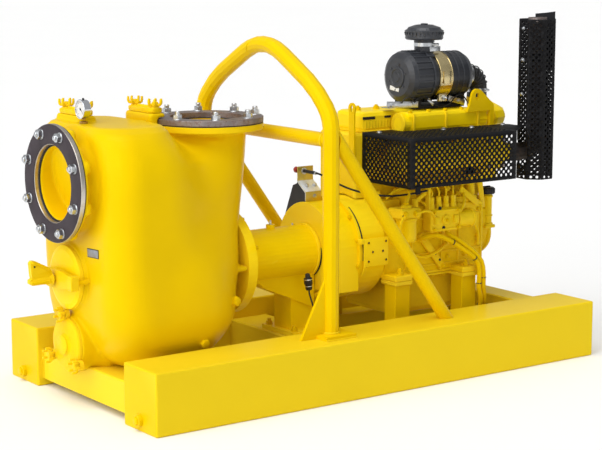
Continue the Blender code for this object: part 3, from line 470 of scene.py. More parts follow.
LEAN_Z = 0.66
FRONT_WALL, HALF_WIDTH = -0.005, 0.25  # the curves through the rows stay within these
NECK_TOP = 0.788
BLEND = ((0, 0.03), (0.4, 0.035), (0.5, 0.07), (0.6, 0.13), (0.7, 0.15), (0.8, 0.12))
CORE_X = 0.215                         # the casing's plans are drawn round this station


def follow(table, z):
    """The row of a table at height z, on smooth curves through its rows."""
    if z <= table[0][0]:
        return table[0][1:]
    if z >= table[-1][0]:
        return table[-1][1:]
    i = max(k for k in range(len(table) - 1) if table[k][0] <= z)
    a, b = table[i], table[i + 1]
    before, after = table[max(i - 1, 0)], table[min(i + 2, len(table) - 1)]
    span = b[0] - a[0]
    t = (z - a[0]) / span
    out = []
    for c in range(1, len(a)):
        m0 = (b[c] - before[c]) / (b[0] - before[0]) * span
        m1 = (after[c] - a[c]) / (after[0] - a[0]) * span
        out.append((2 * t ** 3 - 3 * t * t + 1) * a[c] + (t ** 3 - 2 * t * t + t) * m0
            + (3 * t * t - 2 * t ** 3) * b[c] + (t ** 3 - t * t) * m1)
    return out


def casing_distance(x, y, z):
    """Distance in plan from the casing's wall at height z, negative inside."""
    side = y
    x0, x1, half, front_r, rear_r = follow(CHAMBER, z)
    x0, half = max(x0, FRONT_WALL), min(half, HALF_WIDTH)
    if y < 0:
        y -= NEAR_LEAN * max(0, z - LEAN_Z) ** 2
    mid = (x0 + x1) / 2
    r = min(rear_r if x > mid else front_r, half - 0.0005, (x1 - x0) / 2 - 0.0005)
    qx, qy = abs(x - mid) - (x1 - x0) / 2 + r, abs(y) - half + r
    box_d = math.hypot(max(qx, 0), max(qy, 0)) + min(max(qx, qy), 0) - r
    if z > NECK_TOP:
        return box_d
    cx, radius = follow(NECK, z)
    cone_d = math.hypot(x - cx, side) - radius
    blend = follow(BLEND, z)[0]
    share = max(0, min(1.0, 0.5 + 0.5 * (cone_d - box_d) / blend))
    return cone_d + (box_d - cone_d) * share - blend * share * (1 - share)


def casing_plan(z, n):
    """Points round the casing's wall at height z, seen from a centre line inside it."""
    ring = []
    for k in range(n):
        a = 2 * math.pi * (k + 0.5) / n
        low, high = 0.02, 0.6
        for _ in range(26):
            t = (low + high) / 2
            if casing_distance(CORE_X + t * math.cos(a), t * math.sin(a), z) < 0:
                low = t
            else:
                high = t
        ring.append(at(CORE_X + low * math.cos(a), low * math.sin(a), z))
    return ring


HAND_Y, HAND_Z = 0.025, 0.378
CLEAN_Y, CLEAN_Z = 0.03, 0.178
# Each lid: x, y, half the way between its knobs, foot of its pad.
LIDS = {"front": (0.072, 0.117, 0.058, 0.79), "rear": (0.277, 0.069, 0.0575, 0.75)}


def loose(bm):
    """A mesh object that only serves a modifier."""
    bmesh.ops.recalc_face_normals(bm, faces=bm.faces)
    mesh = bpy.data.meshes.new("cutter")
    bm.to_mesh(mesh)
    bm.free()
    obj = bpy.data.objects.new("cutter", mesh)
    bpy.context.scene.collection.objects.link(obj)
    return obj


def baked(obj):
    """A bmesh of the object with its modifiers applied; the object goes."""
    seen = obj.evaluated_get(bpy.context.evaluated_depsgraph_get())
    mesh = bpy.data.meshes.new_from_object(seen)
    bm = bmesh.new()
    bm.from_mesh(mesh)
    bpy.data.meshes.remove(mesh)
    bpy.data.objects.remove(obj, do_unlink=True)
    return bm


def boolean(obj, other, kind):
    step = obj.modifiers.new(kind.lower(), 'BOOLEAN')
    step.operation = kind
    step.solver = 'EXACT'
    step.object = other


bm = bmesh.new()
heights = [round(0.115 + 0.715 * k / 52, 4) for k in range(52)]
heights = {z for z in heights if z < 0.783 or 0.793 < z < 0.815}
heights |= {NECK_TOP, NECK_TOP + 0.0015, 0.8165, 0.8185, CASE_TOP}
add_rings(bm, [casing_plan(z, 120) for z in sorted(heights)])
casing = loose(bm)
cutters = []


def shape(kind, build, *args, **more):
    """Join a form to the casing, or cut it away."""
    part = bmesh.new()
    build(part, *args, **more)
    cutters.append(loose(part))
    boolean(casing, cutters[-1], kind)


def suction_bore(bm):
    """The bore behind the suction flange, which ends on the slanting seat of the flap."""
    rod(bm, (-0.1, 0, SUCTION_Z), (0, 0, SUCTION_Z), BORE_R, sides=80)
    for corner in bm.verts:
        if corner.co.x > -0.05 - MID:
            corner.co.x = SUCTION_X - MID + 0.0635 - 0.262 * (corner.co.z - SUCTION_Z)


OUT_FOOT = (OUT_X, 0, 0.782)
PAD_X = -0.014
PORT_STUDS = [(y, SUCTION_Z + z) for y, z in circle(8, BOLT_R, 22.5)]
# Profiles of the pads that stand out from the casing: radius, height off the foot.
OUT_PAD = [(0, -0.01), (0.116, -0.01), (0.122, -0.004), (0.13, 0), (0.16, 0), (0.16, 0.017), (0, 0.017)]
SUCTION_PAD = [(0, 0), (0.1655, 0), (0.166, 0.0015), (0.166, 0.0085), (0.16, 0.01), (0.131, 0.0115),
    (0.128, 0.018), (0.13, 0.03), (0.142, 0.044), (0.165, 0.058), (0.165, 0.075), (0, 0.075)]
HAND_PAD = [(0, 0), (0.096, 0), (0.098, 0.002), (0.098, 0.012), (0.104, 0.022), (0.118, 0.032),
    (0.118, 0.06), (0, 0.06)]
CLEAN_PAD = [(0, 0), (0.082, 0), (0.084, 0.002), (0.084, 0.04), (0.09, 0.06), (0.104, 0.085),
    (0.104, 0.12), (0, 0.12)]
STUD_PAD = [(0, 0), (0.0225, 0), (0.0225, 0.01), (0.0205, 0.017), (0.014, 0.0215), (0, 0.0225)]
shape('UNION', lathe, OUT_PAD, OUT_FOOT, UP, 72)
shape('UNION', lathe, SUCTION_PAD, (SEAT_X, 0, SUCTION_Z), REAR, 72)
shape('UNION', lathe, HAND_PAD, (PAD_X, HAND_Y, HAND_Z), REAR, 64)
shape('UNION', lathe, CLEAN_PAD, (PAD_X, CLEAN_Y, CLEAN_Z), REAR, 64)
for y, z in PORT_STUDS:
    shape('UNION', lathe, STUD_PAD, (SEAT_X + 0.004, y, z), REAR, 28)
for x, y, reach, low in LIDS.values():
    end = reach + 0.018
    shape('UNION', block, x - 0.027, x + 0.027, y - end, y + end, low, 0.8375, 0.008, 3)
for y in (-0.125, 0.125):
    shape('UNION', block, 0.4, 0.489, y - 0.035, y + 0.035, SHAFT_Z - 0.008, SHAFT_Z + 0.008, 0.003)
shape('DIFFERENCE', suction_bore)
shape('DIFFERENCE', rod, (OUT_X, 0, 0.7), (OUT_X, 0, 0.86), BORE_R, sides=80)
shape('DIFFERENCE', rod, (OUT_X, 0, 0.8), (OUT_X, 0, 0.8235), FLANGE_R + 0.003, sides=80)
shape('DIFFERENCE', rod, (0.4895, 0, SHAFT_Z), (0.6, 0, SHAFT_Z), 0.17, sides=80)
voxels = casing.modifiers.new("voxels", 'REMESH')
voxels.mode = 'VOXEL'
voxels.voxel_size = 0.0042
soften = casing.modifiers.new("soften", 'SMOOTH')
soften.factor = 0.5
soften.iterations = 5
bm = baked(casing)
for cutter in cutters:
    bpy.data.objects.remove(cutter, do_unlink=True)
casing_body = piece(bm, "casing_body", paint_case, angle=180.0, weld=False)
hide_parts("pump_casing")
bm = bmesh.new()
lathe(bm, [(BORE_R, 0), (FLANGE_R - 0.002, 0), (FLANGE_R, 0.002), (FLANGE_R, 0.0172),
    (FLANGE_R - 0.0015, 0.0187), (BORE_R, 0.0187), (BORE_R, 0)], OUT_FOOT, UP, 96)
piece(bm, "discharge_pad", paint_case)


# Port flanges
def flange_nuts(name, spots, out, gap, across, height, stud):
    """Washers, nuts and stud ends on a flange. out points off its face, and each nut starts gap over it."""
    bm = bmesh.new()
    d = Vector(out)
    for spot in spots:
        face = Vector(spot)
        turn = rng.uniform(0, math.pi / 3)
        washer(bm, face - d * 0.0001, out, 0.015, 0.0028)
        nut(bm, face + d * gap, out, across, height, turn)
        lathe(bm, stud, face + d * (gap + height), out, 18)
    piece(bm, name, zinc)


SUCTION = (SUCTION_X, 0, SUCTION_Z)
DISCHARGE = (OUT_X, 0, OUT_Z - 0.019)
bm = bmesh.new()
lathe(bm, [(NECK_BORE + 0.001, 0.0026), (FLANGE_R - 0.0012, 0.0026), (FLANGE_R, 0.004), (FLANGE_R, 0.015),
    (FLANGE_R - 0.001, 0.016), (NECK_BORE, 0.016), (NECK_BORE, 0.004), (NECK_BORE + 0.001, 0.0026)],
    SUCTION, REAR, 96)
suction_ring = piece(bm, "suction_flange_ring", turned_steel)
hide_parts("suction_flange")
bm = bmesh.new()
lathe(bm, [(NECK_BORE + 0.0025, 0.0026), (NECK_BORE + 0.0022, 0.0008), (NECK_BORE + 0.004, 0),
    (FLANGE_R - 0.004, 0), (FLANGE_R - 0.0018, 0.0008), (FLANGE_R - 0.001, 0.0026),
    (NECK_BORE + 0.0025, 0.0026)], SUCTION, REAR, 96)
piece(bm, "suction_flange_face", rubber_face)
bm = bmesh.new()
lathe(bm, [(0.106, 0.0161), (FLANGE_R - 0.002, 0.0161), (FLANGE_R - 0.002, 0.019), (0.106, 0.019),
    (0.106, 0.0161)], SUCTION, REAR, 96)
piece(bm, "suction_gasket", gasket)
flange_nuts("suction_nuts", [(SUCTION_X, y, z) for y, z in PORT_STUDS], FRONT, 0.0028, 0.0245, 0.013,
    [(0.0079, 0), (0.0079, 0.0035), (0.0066, 0.0052), (0.0035, 0.006), (0, 0.0062)])

bm = bmesh.new()
lathe(bm, [(NECK_BORE, 0.0025), (NECK_BORE, 0.018), (NECK_BORE + 0.001, 0.019),
    (FLANGE_R - 0.0015, 0.019), (FLANGE_R, 0.0175), (FLANGE_R, 0.004), (FLANGE_R - 0.0012, 0.0025),
    (NECK_BORE, 0.0025)], DISCHARGE, UP, 96)
discharge_ring = piece(bm, "discharge_flange_ring", rusty_steel)
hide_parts("discharge_flange")
bm = bmesh.new()
lathe(bm, [(0.106, 0.0001), (FLANGE_R - 0.0008, 0.0001), (FLANGE_R - 0.0008, 0.0024), (0.106, 0.0024),
    (0.106, 0.0001)], DISCHARGE, UP, 96)
piece(bm, "discharge_gasket", gasket)
flange_nuts("discharge_nuts", [(OUT_X + x, y, OUT_Z) for x, y in circle(8, BOLT_R, 22.5)], UP, 0.0027,
    0.024, 0.0125, [(0.008, 0), (0.008, 0.0085), (0.0068, 0.0102), (0, 0.0104)])


# Star knobs, lids and the clean-out cover
# Each row of a prong: share of the knob's radius, height.
PRONG = ((0.55, 0.004), (0.8, 0.0045), (0.95, 0.0075), (1.0, 0.013), (0.985, 0.02), (0.96, 0.0222))


def crown(bm, centre, direction, turn):
    """A castle knob: a hub with six prongs that turn up, on a domed nut."""
    d = Vector(direction).normalized()
    u, v = basis(d)
    radius = 0.0205
    lathe(bm, [(0, 0), (0.0105, 0), (0.0105, 0.01), (0.00861, 0.0135), (0.004, 0.0145), (0, 0.0145)],
        centre, direction, 18)
    for k in range(6):
        a = turn + math.pi / 3 * k
        out = u * math.cos(a) + v * math.sin(a)
        path = [Vector(centre) + out * radius * share + d * height for share, height in PRONG]
        pipe(bm, path, lambda t: 0.0042 - 0.0016 * max(0, t - 0.5), 8)


for place, (x, y, reach, _) in LIDS.items():
    bm = bmesh.new()
    outline = []
    for i, j, a in ((1, 1, 0), (-1, 1, 90), (-1, -1, 180), (1, -1, 270)):
        outline += arc(x + i * 0.008, y + j * (reach - 0.001), 0.014, a, a + 90, 5)
    plate(bm, outline, 0.0135, plane_z(0.845), 0.003)
    block(bm, x - 0.006, x + 0.006, y - reach + 0.018, y + reach - 0.018, 0.85, 0.8575, 0.003)
    for s in (-1, 1):
        knob_y = y + s * reach
        lathe(bm, [(0, 0), (0.0135, 0), (0.0125, 0.0035), (0, 0.0035)], (x, knob_y, 0.8515), UP, 20)
        rod(bm, (x, knob_y, 0.85), (x, knob_y, 0.859), 0.008)
        crown(bm, (x, knob_y, 0.856), UP, 0.3 * s + 0.2)
    lid = piece(bm, f"{place}_lid", paint_cast)
    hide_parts(f"{place}_filler_lid")

bm = bmesh.new()
lathe(bm, [(0, 0.0205), (0.026, 0.0205), (0.03, 0.0185), (0.033, 0.015), (0.036, 0.014), (0.07, 0.0125),
    (0.077, 0.0105), (0.08, 0.0065), (0.0805, 0), (0, 0)], (-0.0143, CLEAN_Y, CLEAN_Z), FRONT, 56)
for a in (88, 212, 330):
    y = CLEAN_Y + 0.09 * math.cos(math.radians(a))
    z = CLEAN_Z + 0.09 * math.sin(math.radians(a))
    lathe(bm, [(0, 0), (0.0145, 0), (0.0145, 0.01), (0.0125, 0.0125), (0, 0.0125)], (-0.0143, y, z),
        FRONT, 24)
    rod(bm, (-0.022, y, z), (-0.03, y, z), 0.007)
    crown(bm, (-0.0285, y, z), FRONT, 0.4 + a)
cover = piece(bm, "cleanout_cover_and_knobs", paint_cast)
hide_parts("cleanout_cover")


# Pressure gauge
GAUGE_X, GAUGE_Y, GAUGE_Z = 0.0425, 0.018, 0.861
DIAL = (GAUGE_X - 0.0125, GAUGE_Y, GAUGE_Z)
bm = bmesh.new()
lathe(bm, [(0, 0.0255), (0.023, 0.0255), (0.0262, 0.023), (0.027, 0.02), (0.027, 0.005), (0.0284, 0.0042),
    (0.0285, 0.0006), (0.0276, 0), (0.0252, 0), (0.0244, 0.0022), (0.0244, 0.0035)], DIAL, REAR, 48)
case = piece(bm, "gauge_case", chrome)
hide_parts("pressure_gauge")
bm = bmesh.new()
lathe(bm, [(0, 0.0034), (0.0244, 0.0034)], DIAL, REAR, 48)
piece(bm, "gauge_dial", dial_white)


def mark(bm, points, angle, depth):
    """A flat mark on the dial, turned by an angle about the dial's centre."""
    c, s = math.cos(math.radians(angle)), math.sin(math.radians(angle))
    bm.faces.new([bm.verts.new(at(DIAL[0] + depth, GAUGE_Y + u * c - v * s, GAUGE_Z + u * s + v * c))
        for u, v in points])


bm = bmesh.new()
for k in range(33):
    inner, outer, wide = (0.0175, 0.0225, 0.0005) if k % 4 == 0 else (0.02, 0.0225, 0.0003)
    tick = ((-wide, inner), (-wide, outer), (wide, outer), (wide, inner))
    mark(bm, tick, 270 * k / 32 - 135, 0.0032)
mark(bm, ((-0.0012, -0.006), (0.0012, -0.006), (0.0004, 0.019), (-0.0004, 0.019)), 132, 0.0028)
lathe(bm, [(0.003, 0.003), (0.0028, 0.0016), (0, 0.0012)], DIAL, REAR, 16)
piece(bm, "gauge_marks", gasket)
bm = bmesh.new()
rod(bm, (GAUGE_X, GAUGE_Y, 0.8305), (GAUGE_X, GAUGE_Y, 0.838), 0.0062)
nut(bm, (GAUGE_X, GAUGE_Y, CASE_TOP + 0.0002), UP, 0.0205, 0.0068)
nut(bm, (GAUGE_X, GAUGE_Y, 0.8365), UP, 0.0145, 0.004, 0.3)
piece(bm, "gauge_fitting", brass)
bm = bmesh.new()
boss(bm, (GAUGE_X, GAUGE_Y, GAUGE_Z + 0.0265), UP, 0.0055, 0.0036, 0.0028, 14, 0.0006)
piece(bm, "gauge_filler_plug", gasket)


# Perforated sheets
HOLE_SIDES = 12


def perforated(bm, origin, along, up, width, height, pitch, radius, margin=0.004):
    """A sheet of staggered round holes, each hole in its own brick of a running bond."""
    cols = max(1, round((width - 2 * margin) / pitch[0]))
    rows = max(1, round((height - 2 * margin) / (pitch[1] / 2)))
    pu, pv = (width - 2 * margin) / cols, (height - 2 * margin) / rows
    origin, along, up = at(*origin), Vector(along).normalized(), Vector(up).normalized()

    def spot(u, v):
        return bm.verts.new(origin + along * u + up * v)

    def plain(u0, u1, v0, v1):
        bm.faces.new([spot(u, v) for u, v in ((u0, v0), (u1, v0), (u1, v1), (u0, v1))])

    for j in range(rows):
        v0 = margin + j * pv
        v1 = v0 + pv
        shift = pu / 2 if j % 2 else 0.0
        if shift:
            plain(margin, margin + shift, v0, v1)
            plain(width - margin - shift, width - margin, v0, v1)
        plain(0, margin, v0, v1)
        plain(width - margin, width, v0, v1)
        for i in range(cols - j % 2):
            u0 = margin + shift + i * pu
            u1 = u0 + pu
            um, vm = (u0 + u1) / 2, (v0 + v1) / 2
            outer = [(u1, vm), (u1, v1), ((um + u1) / 2, v1), (um, v1), ((u0 + um) / 2, v1), (u0, v1),
                (u0, vm), (u0, v0), ((u0 + um) / 2, v0), (um, v0), ((um + u1) / 2, v0), (u1, v0)]
            edge = [spot(u, v) for u, v in outer]
            hole = [spot(um + u, vm + v) for u, v in circle(HOLE_SIDES, radius)]
            for k in range(HOLE_SIDES):
                m = (k + 1) % HOLE_SIDES
                bm.faces.new((edge[k], edge[m], hole[m], hole[k]))
    for v0, v1 in ((0, margin), (height - margin, height)):
        plain(0, margin, v0, v1)
        plain(width - margin, width, v0, v1)
        for i in range(cols * 4):
            u0 = margin + i * pu / 4
            plain(u0, u0 + pu / 4, v0, v1)


def sheet_piece(bm, name):
    """The perforated sheets of a guard, given their thickness."""
    bmesh.ops.remove_doubles(bm, verts=bm.verts, dist=0.00002)
    obj = piece(bm, name, black_steel, weld=False)
    solid = obj.modifiers.new("thickness", 'SOLIDIFY')
    solid.thickness = 0.002
    solid.offset = 0.0
    solid.use_even_offset = True
    return obj


def bolt(bm, centre, direction, across=0.013, height=0.0052, stud=0.0):
    """A washer and a hexagon head standing on a face, with the end of a stud if given."""
    d = Vector(direction).normalized()
    base = Vector(centre)
    washer(bm, centre, d, across * 0.68, 0.0018, 20)
    nut(bm, base + d * 0.0017, d, across, height, rng.uniform(0, 1.0), 24)
    if stud:
        r = across * 0.32
        lathe(bm, [(r, 0), (r, stud - 0.001), (r * 0.8, stud), (0, stud)], base + d * (0.0016 + height),
            d, 14)


GUARD = ((0.996, -0.056), (0.994, -0.3), (1.428, -0.3))
GUARD_LOW, GUARD_TOP = 0.585, 0.7405
GUARD_HOLES = {"pitch": (0.0208, 0.0208), "radius": 0.0048, "margin": 0.011}
bm = bmesh.new()
for (x0, y0), (x1, y1) in zip(GUARD, GUARD[1:]):
    run = Vector((x1 - x0, y1 - y0, 0))
    perforated(bm, (x0, y0, GUARD_LOW), run, UP, run.length, GUARD_TOP - GUARD_LOW - 0.001, **GUARD_HOLES)
perforated(bm, (0.9945, -0.3, GUARD_TOP - 0.001), REAR, FAR, 0.4335, 0.173, **GUARD_HOLES)
guard = sheet_piece(bm, "exhaust_guard_mesh")
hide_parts("exhaust_guard")
bm = bmesh.new()
REAR_PLATE = [(1.4275, -0.301), (1.538, -0.21), (1.538, -0.145), (1.515, -0.127), (1.4275, -0.127)]
STRIP = [(0.9945, -0.1275), (1.36, -0.1275), (1.36, -0.1135), (1.115, -0.1135), (1.115, -0.056),
    (0.995, -0.056)]
for outline in (REAR_PLATE, STRIP):
    plate(bm, outline, 0.0024, plane_z(GUARD_TOP - 0.0013), 0.0005)
each(block, bm,
    (1.1, 1.112, -0.075, -0.0555, 0.705, 0.739, 0.001),
    (1.34, 1.358, -0.13, -0.0555, 0.73, 0.734, 0.001),
    (1.014, 1.03, -0.3055, -0.2975, 0.568, 0.592, 0.0015))
piece(bm, "exhaust_guard_edges", black_steel)
bm = bmesh.new()
for x, y in ((1.022, -0.109), (1.25, -0.15), (1.361, -0.16), (1.5, -0.155)):
    bolt(bm, (x, y, GUARD_TOP), UP, 0.013, 0.005)
piece(bm, "exhaust_guard_bolts", zinc)

bm = bmesh.new()
corner_r = STACK_FLAT / math.cos(math.pi / 8) - 0.001
corners = [(STACK_X + x, STACK_Y + y) for x, y in circle(8, corner_r, 22.5)]
for (x0, y0), (x1, y1) in zip(corners, corners[1:] + corners[:1]):
    run = Vector((x1 - x0, y1 - y0, 0))
    window = max(x0, x1) < 1.59 and (y0 + y1) / 2 > -0.21
    for low, top in (((0.564, 0.611), (0.69, 1.085)) if window else ((0.564, 1.085),)):
        perforated(bm, (x0, y0, low), run, UP, run.length, top - low, (0.0198, 0.019), 0.0045)
SHIELD = ((1.6375, -0.1535), (1.6585, -0.1765), (1.6585, -0.223), (1.651, -0.231))
for (x0, y0), (x1, y1) in zip(SHIELD, SHIELD[1:]):
    top0, top1 = 1.0816 - 0.11875 * y0, 1.0816 - 0.11875 * y1
    corners = ((x0, y0, 0.92), (x1, y1, 0.92), (x1, y1, top1), (x0, y0, top0))
    bm.faces.new([bm.verts.new(at(*corner)) for corner in corners])
stack = sheet_piece(bm, "stack_guard_mesh")
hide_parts("stack_guard")
bm = bmesh.new()
stack_front = STACK_X - STACK_FLAT
each(bolt, bm,
    ((stack_front, -0.197, 0.953), FRONT, 0.01, 0.004),
    ((stack_front, -0.195, 0.842), FRONT, 0.01, 0.004),
    ((stack_front, -0.198, 1.056), FRONT, 0.008, 0.003))
piece(bm, "stack_guard_bolts", zinc)
# Painted shade in a hole of the stack guard's plate.
bm = bmesh.new()
disc(bm, (1.6605, -0.18, 1.086), FRONT, 0.0048, 0.0035)
piece(bm, "stack_plate_hole_shade", shade_in_holes)
bm = bmesh.new()
ring(bm, (STACK_X, STACK_Y, 1.076), UP, 0.0268, 0.0306, 0.0142, 40)
ring(bm, (STACK_X, STACK_Y, 0.955), UP, 0.03, 0.0315, 0.012, 40)
piece(bm, "exhaust_outlet_rim", rusty_steel)


# Air cleaner
PRE_X = 1.291


def fin(bm, angle, x0, x1, r0, r1, thick, bevel=0.0006):
    """A rib along X standing out from the air cleaner, at an angle in degrees about its axis."""
    centre = Matrix.Translation(at((x0 + x1) / 2, 0, CLEANER_Z))
    turn = Matrix.Rotation(math.radians(angle), 4, 'X')
    box(bm, (x1 - x0, thick, r1 - r0), centre @ turn @ Matrix.Translation((0, 0, (r0 + r1) / 2)), bevel)


bm = bmesh.new()
for k in range(24):
    fin(bm, 15 * (k + 0.5), 1.205, 1.268, 0.082, 0.0856, 0.0052)
ring(bm, (1.268, 0, CLEANER_Z), REAR, 0.082, 0.0862, 0.0062, 64)
ring(bm, (1.2025, 0, CLEANER_Z), REAR, 0.082, 0.0842, 0.0035, 64)
lathe(bm, [(0.035, -0.001), (0.035, 0.0022), (0.0335, 0.0036), (0.026, 0.004), (0.0245, 0.0026),
    (0.015, 0.0026), (0.0135, 0.004), (0, 0.0044)], (1.18, 0, CLEANER_Z), FRONT, 48)
for k in range(6):
    fin(bm, 60 * k + 12, 1.1775, 1.1835, 0.037, 0.0455, 0.004)
boss(bm, (1.206, 0.074, 0.903), FAR, 0.0195, 0.006, sides=16, chamfer=0.001)
for x in (1.374, 1.398, 1.422):
    ring(bm, (x, 0, CLEANER_Z), REAR, 0.0765, 0.0786, 0.004, 64)
for a in (35, 155, 275):
    fin(bm, a, 1.262, 1.292, 0.083, 0.0885, 0.014, 0.0015)
piece(bm, "air_cleaner_ribs", grey_plastic)
bm = bmesh.new()
bar(bm, (1.1792, 0.036, 0.8665), (1.1792, -0.01, 0.861), 0.0135, 0.0012, REAR, 0.0003)
piece(bm, "air_cleaner_label", label_white)
bm = bmesh.new()
block(bm, 1.283, 1.3165, -0.0885, -0.076, 0.8235, 0.848, 0.0018)
for x in (1.2975, 1.3455):
    ring(bm, (x, 0, CLEANER_Z), REAR, 0.08, 0.0816, 0.0028, 72)
bar(bm, (1.323, -0.082, 0.879), (1.323, -0.0815, 0.92), 0.03, 0.004, bevel=0.001)
piece(bm, "air_cleaner_band_buckle", gilt)
bm = bmesh.new()
bolt(bm, (1.3, -0.0885, 0.836), NEAR, 0.012, 0.006, 0.008)
ring(bm, (PRE_X, 0, 0.9975), UP, 0.0305, 0.0335, 0.0125, 48)
rod(bm, (1.3, -0.0315, 1.004), (1.322, -0.0365, 1.004), 0.0042, sides=14, chamfer=0.0008)
ring(bm, (1.522, 0, 0.8385), UP, 0.0338, 0.0362, 0.012, 48)
rod(bm, (1.524, -0.0385, 0.8445), (1.545, -0.0335, 0.8445), 0.0042, sides=14, chamfer=0.0008)
ring(bm, (1.47, 0, 0.897), REAR, 0.0338, 0.0362, 0.011, 48)
block(bm, 1.288, 1.332, -0.034, -0.026, 0.982, 0.9975, 0.001)
piece(bm, "air_cleaner_clamps", zinc)
bm = bmesh.new()
for c, s in circle(28, 1.0):
    bar(bm, (PRE_X + 0.056 * c, 0.056 * s, 1.03), (PRE_X + 0.0608 * c, 0.0608 * s, 1.044), 0.003, 0.01,
        (c, s, 0), 0)
lathe(bm, [(0.05, 0), (0.059, -0.003), (0.0622, 0.001), (0.0622, 0.006), (0.06, 0.0085), (0.05, 0.0105)],
    (PRE_X, 0, 1.0225), UP, 56)
lathe(bm, [(0.064, 0), (0.064, 0.0035), (0.06, 0.006)], (PRE_X, 0, 1.0445), UP, 56)
lathe(bm, [(0.06, 0), (0.064, 0)], (PRE_X, 0, 1.0445), UP, 56)
lathe(bm, [(0.012, 0), (0.012, 0.004), (0.01, 0.0055), (0, 0.0055)], (PRE_X, 0, 1.066), UP, 28)
piece(bm, "pre_cleaner_vanes", grey_plastic)
bm = bmesh.new()
for k in range(5):
    a = math.radians(8 + 17 * k)
    c, s = math.cos(a), math.sin(a)
    ring(bm, (1.482 + 0.04 * s, 0, 0.857 + 0.04 * c), (c, 0, -s), 0.0325, 0.0358, 0.0035, 40, 0.001)
piece(bm, "air_outlet_ribs", rubber_hose)

bm = bmesh.new()
each(bar, bm,
    ((1.093, -0.0565, 0.8215), (1.221, -0.0565, 0.8155), 0.02, 0.0024, FAR, 0.0006),
    ((1.262, -0.057, 0.831), (1.285, -0.057, 0.811), 0.01, 0.003, FAR, 0.0006),
    ((1.35, -0.056, 0.829), (1.42, -0.056, 0.811), 0.018, 0.0024, FAR, 0.0006))
block(bm, 1.098, 1.14, -0.0565, -0.02, 0.8085, 0.811, 0.0006)
for x, y, z in ((1.11, -0.0578, 0.819), (1.205, -0.0578, 0.819), (1.395, -0.0575, 0.8175)):
    bolt(bm, (x, y, z), NEAR, 0.01, 0.0045)
piece(bm, "saddle_plates", zinc)
bm = bmesh.new()
each(tube, bm,
    ([(1.15, -0.06, 0.823), (1.16, -0.066, 0.838), (1.178, -0.068, 0.842), (1.192, -0.066, 0.833),
      (1.2, -0.064, 0.824), (1.212, -0.066, 0.834), (1.232, -0.066, 0.84), (1.262, -0.063, 0.829)],
     0.0021, 8, 0.006),
    ([(1.286, -0.06, 0.812), (1.31, -0.066, 0.804), (1.345, -0.068, 0.812), (1.372, -0.066, 0.834),
      (1.4, -0.066, 0.838), (1.428, -0.062, 0.812), (1.44, -0.058, 0.8)], 0.0021, 8, 0.006))
piece(bm, "saddle_wires", black_plastic)


# Engine
CRANK_Z = 0.369
INJECT_Y = -0.178
FILTER = (1.066, -0.192)
FILLER = (1.484, -0.1)
MANIFOLD = (-0.148, 0.655)
PUMP_PORTS = (1.18, 1.21, 1.24, 1.27)
COVER_BOLTS = ((0.933, 0.408), (1.001, 0.408), (0.949, 0.378), (0.989, 0.378), (0.933, 0.349),
    (1.002, 0.349))
bm = bmesh.new()
for z in (0.346, 0.307, 0.46):
    both_sides(bm, 1.122, 1.42, 0.149, 0.1545, z - 0.0025, z + 0.0025, 0.0015)
for x in (1.1, 1.124, 1.245, 1.318, 1.414):
    both_sides(bm, x - 0.003, x + 0.003, 0.149, 0.155, 0.3, 0.485, 0.0015)
both_sides(bm, 1.016, 1.424, 0.148, 0.156, 0.28, 0.288, 0.002)
both_sides(bm, 1.055, 1.415, 0.12, 0.156, 0.2715, 0.2788, 0.002)
bar(bm, (1.16, -0.158, 0.401), (1.242, -0.158, 0.301), 0.024, 0.012, bevel=0.003)
for x in (1.159, 1.293, 1.43):
    block(bm, x - 0.0035, x + 0.0035, -0.1162, -0.108, 0.738, 0.793, 0.0012)
for k in range(9):
    block(bm, 1.022 + 0.012 * k, 1.025 + 0.012 * k, -0.0395, -0.03, 0.745, 0.772, 0.0008)
each(block, bm,
    (1.006, 1.442, -0.042, 0.109, 0.7352, 0.742, 0.002),
    (1.172, 1.278, -0.2015, -0.195, 0.4235, 0.43, 0.0015),
    (1.172, 1.278, -0.2015, -0.195, 0.484, 0.491, 0.0015),
    (1.09, 1.33, 0.129, 0.145, 0.665, 0.72, 0.006))
each(ring, bm,
    ((1.1185, -0.08, 0.76), REAR, 0.02, 0.0345, 0.007, 40, 0.0015),
    ((1.5, -0.078, 0.76), REAR, 0.03, 0.0385, 0.008, 40, 0.0015),
    ((*FILTER, 0.47), UP, 0.032, 0.035, 0.008, 48, 0.0015),
    ((*FILTER, 0.406), UP, 0.026, 0.0338, 0.004, 48, 0.0015),
    ((1.345, INJECT_Y, 0.452), FRONT, 0.018, 0.0292, 0.006, 36, 0.0015),
    ((*FILLER, 0.433), UP, 0.018, 0.0208, 0.006, 36, 0.0012),
    ((*FILLER, 0.496), UP, 0.018, 0.0212, 0.008, 36, 0.0012))
each(boss, bm,
    ((1.16, -0.15, 0.401), NEAR, 0.018, 0.015),
    ((1.242, -0.15, 0.301), NEAR, 0.016, 0.013),
    ((1.225, -0.194, 0.457), NEAR, 0.01, 0.017),
    ((1.478, 0.06, 0.6), REAR, 0.011, 0.022),
    ((1.478, -0.01, 0.56), REAR, 0.011, 0.016),
    ((*FILTER, 0.509), UP, 0.009, 0.019, 0.017, 28, 0.0015))
for x in PUMP_PORTS:
    boss(bm, (x, INJECT_Y, 0.494), UP, 0.014, 0.012, 0.0105, 20, 0.001)
for x in (1.06, 1.19, 1.32):
    boss(bm, (x, 0.129, 0.585), FAR, 0.0055, 0.019, chamfer=0.0015)
    boss(bm, (x, -0.056, 0.53), NEAR, 0.005, 0.017, chamfer=0.0015)
lathe(bm, [(0.0728, 0), (0.077, 0.0015), (0.077, 0.008), (0.07, 0.016), (0.07, 0.022), (0.077, 0.03),
    (0.077, 0.038), (0.0728, 0.04)], (1.487, 0, CRANK_Z), REAR, 64)
